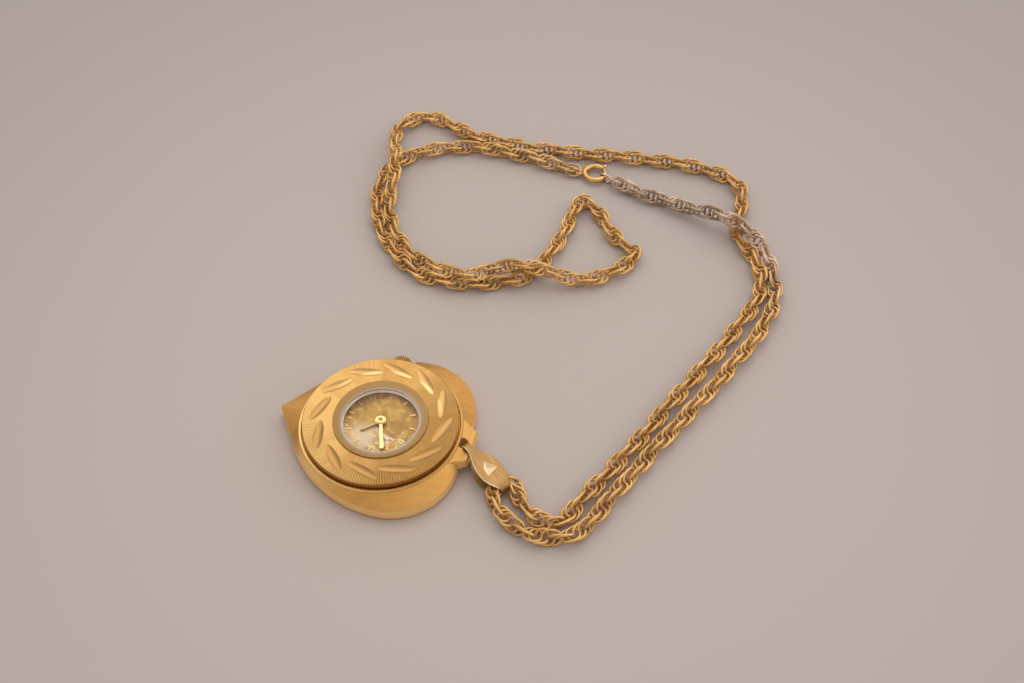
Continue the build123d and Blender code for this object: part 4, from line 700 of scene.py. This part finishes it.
def make_chain(name, route, metal, first_turn):
    """A rope chain of oval links along a route, narrower where it starts inside the bail."""
    path = Path(spline_points(name + "_line", route))
    mesh = bpy.data.meshes.new(name)
    vertices, faces = [], []
    side = Vector((0, 0, 1))
    for number in range(int(path.length / LINK_PITCH)):
        middle = (number + 0.5) * LINK_PITCH
        start = path.at(middle - LINK_HALF_LENGTH * AIM_SHARE)
        end = path.at(middle + LINK_HALF_LENGTH * AIM_SHARE)
        along = (end - start).normalized()
        side = (side - along * side.dot(along)).normalized()
        degrees = first_turn + LINK_TURN * number + LINK_SPREAD * (number % 2)
        lean = Matrix.Rotation(math.radians(degrees), 3, along) @ side
        third = along.cross(lean)
        centre = path.at(middle) + third * LINK_OFFSET
        width_share = min(1.0, TIGHT_SHARE + (1.0 - TIGHT_SHARE) * middle / TIGHT_REACH)
        faces.extend(link_faces(len(vertices)))
        vertices.extend(link_points(centre, along, lean, third, LINK_HALF_LENGTH,
                                    LINK_HALF_WIDTH * width_share))
    mesh.from_pydata(vertices, [], faces)
    mesh.update()
    for polygon in mesh.polygons:
        polygon.use_smooth = True
    piece = add_object(name, mesh)
    mesh.materials.append(metal)
    return piece, path


chain_a, path_a = make_chain("rope_chain_long", LONG_ROUTE, chain_gold, 0.0)
chain_b, path_b = make_chain("rope_chain_short", SHORT_ROUTE, chain_worn, 20.0)
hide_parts("chain_long", "chain_span")
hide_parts("chain_short")
for piece, path, ends, far in (
    (chain_a, path_a, [node["jump_ring"], node["clasp_ring"], node["clasp_trigger"]], "fitting"),
    (chain_b, path_b, [node["jump_link"]], "fitting"),
):
    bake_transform(piece)


# ---------------------------------------------------------------- floor
FLOOR = (0.505, 0.438, 0.412)
FLOOR_SIZE = 2.5
FLOOR_CELLS = 8
# painted shade: the paper gets darker away from DIM_CENTRE, a painted fall-off of the light
DIM_CENTRE = (20.0 * MM, 20.0 * MM)
DIM_START, DIM_FULL = 30.0 * MM, 200.0 * MM
DIM_SHARE = 0.78

floor_mesh = bpy.data.meshes.new("table_top")
maker = bmesh.new()
bmesh.ops.create_grid(maker, x_segments=FLOOR_CELLS, y_segments=FLOOR_CELLS, size=FLOOR_SIZE)
maker.to_mesh(floor_mesh)
maker.free()
floor = add_object("table_top", floor_mesh)
paper = Graph("table_paper", FLOOR, 0.0, 0.75)
# painted fall-off of the light across the paper
falloff_shade = paper.step(paper.from_axis(DIM_CENTRE), DIM_START, DIM_FULL)
paper.set("Base Color", paper.mix(falloff_shade, FLOOR, tuple(DIM_SHARE * c for c in FLOOR)))
paper.bump(paper.noise(paper.where(), 900.0, detail=3.0), 0.08, 0.1 * MM)
floor_mesh.materials.append(paper.material)


# ---------------------------------------------------------------- world and lamps
SKY_LEAN = (0.13, 0.38, 0.42)      # the sky is brightest towards this
SKY_LEVEL = 0.35                   # its share of the bright colour at right angles to that
SKY_DARK = (0.30, 0.27, 0.25, 1.0)
SKY_BRIGHT = (1.0, 0.96, 0.92, 1.0)
SKY_STRENGTH = 1.1
LAMP_COLOUR = (1.0, 0.97, 0.93)
LAMPS = (  # name, place and aim in metres, width in metres, watts
    ("key_softbox", (-0.15, 0.85, 1.1), (0.02, 0.03, 0.0), 1.3, 3.6),
    ("side_softbox", (1.3, 0.2, 0.8), (0.0, 0.0, 0.0), 1.0, 2.2),
    ("front_softbox", (-0.5, -1.4, 0.35), (0.0, 0.0, 0.0), 0.9, 2.6),
)

world = bpy.data.worlds.new("studio")
bpy.context.scene.world = world
world.use_nodes = True
sky = world.node_tree
background = next(n for n in sky.nodes if n.type == "BACKGROUND")
coords = sky.nodes.new("ShaderNodeTexCoord")
lean = sky.nodes.new("ShaderNodeVectorMath")
lean.operation = "DOT_PRODUCT"
lean.inputs[1].default_value = SKY_LEAN
shift = sky.nodes.new("ShaderNodeMath")
shift.operation = "ADD"
shift.use_clamp = True
shift.inputs[1].default_value = SKY_LEVEL
ramp = sky.nodes.new("ShaderNodeValToRGB")
for element, position, colour in zip(ramp.color_ramp.elements, (0.0, 1.0), (SKY_DARK, SKY_BRIGHT)):
    element.position = position
    element.color = colour
sky.links.new(coords.outputs["Generated"], lean.inputs[0])
sky.links.new(lean.outputs["Value"], shift.inputs[0])
sky.links.new(shift.outputs[0], ramp.inputs[0])
sky.links.new(ramp.outputs[0], background.inputs[0])
background.inputs[1].default_value = SKY_STRENGTH


def lamp(name, spot, aim, size, power):
    """A soft square lamp that points at a place."""
    data = bpy.data.lights.new(name, "AREA")
    data.shape = "SQUARE"
    data.size = size
    data.energy = power
    data.color = LAMP_COLOUR
    made = add_object(name, data)
    made.location = spot
    made.rotation_euler = (Vector(aim) - Vector(spot)).to_track_quat("-Z", "Y").to_euler()


for settings in LAMPS:
    lamp(*settings)
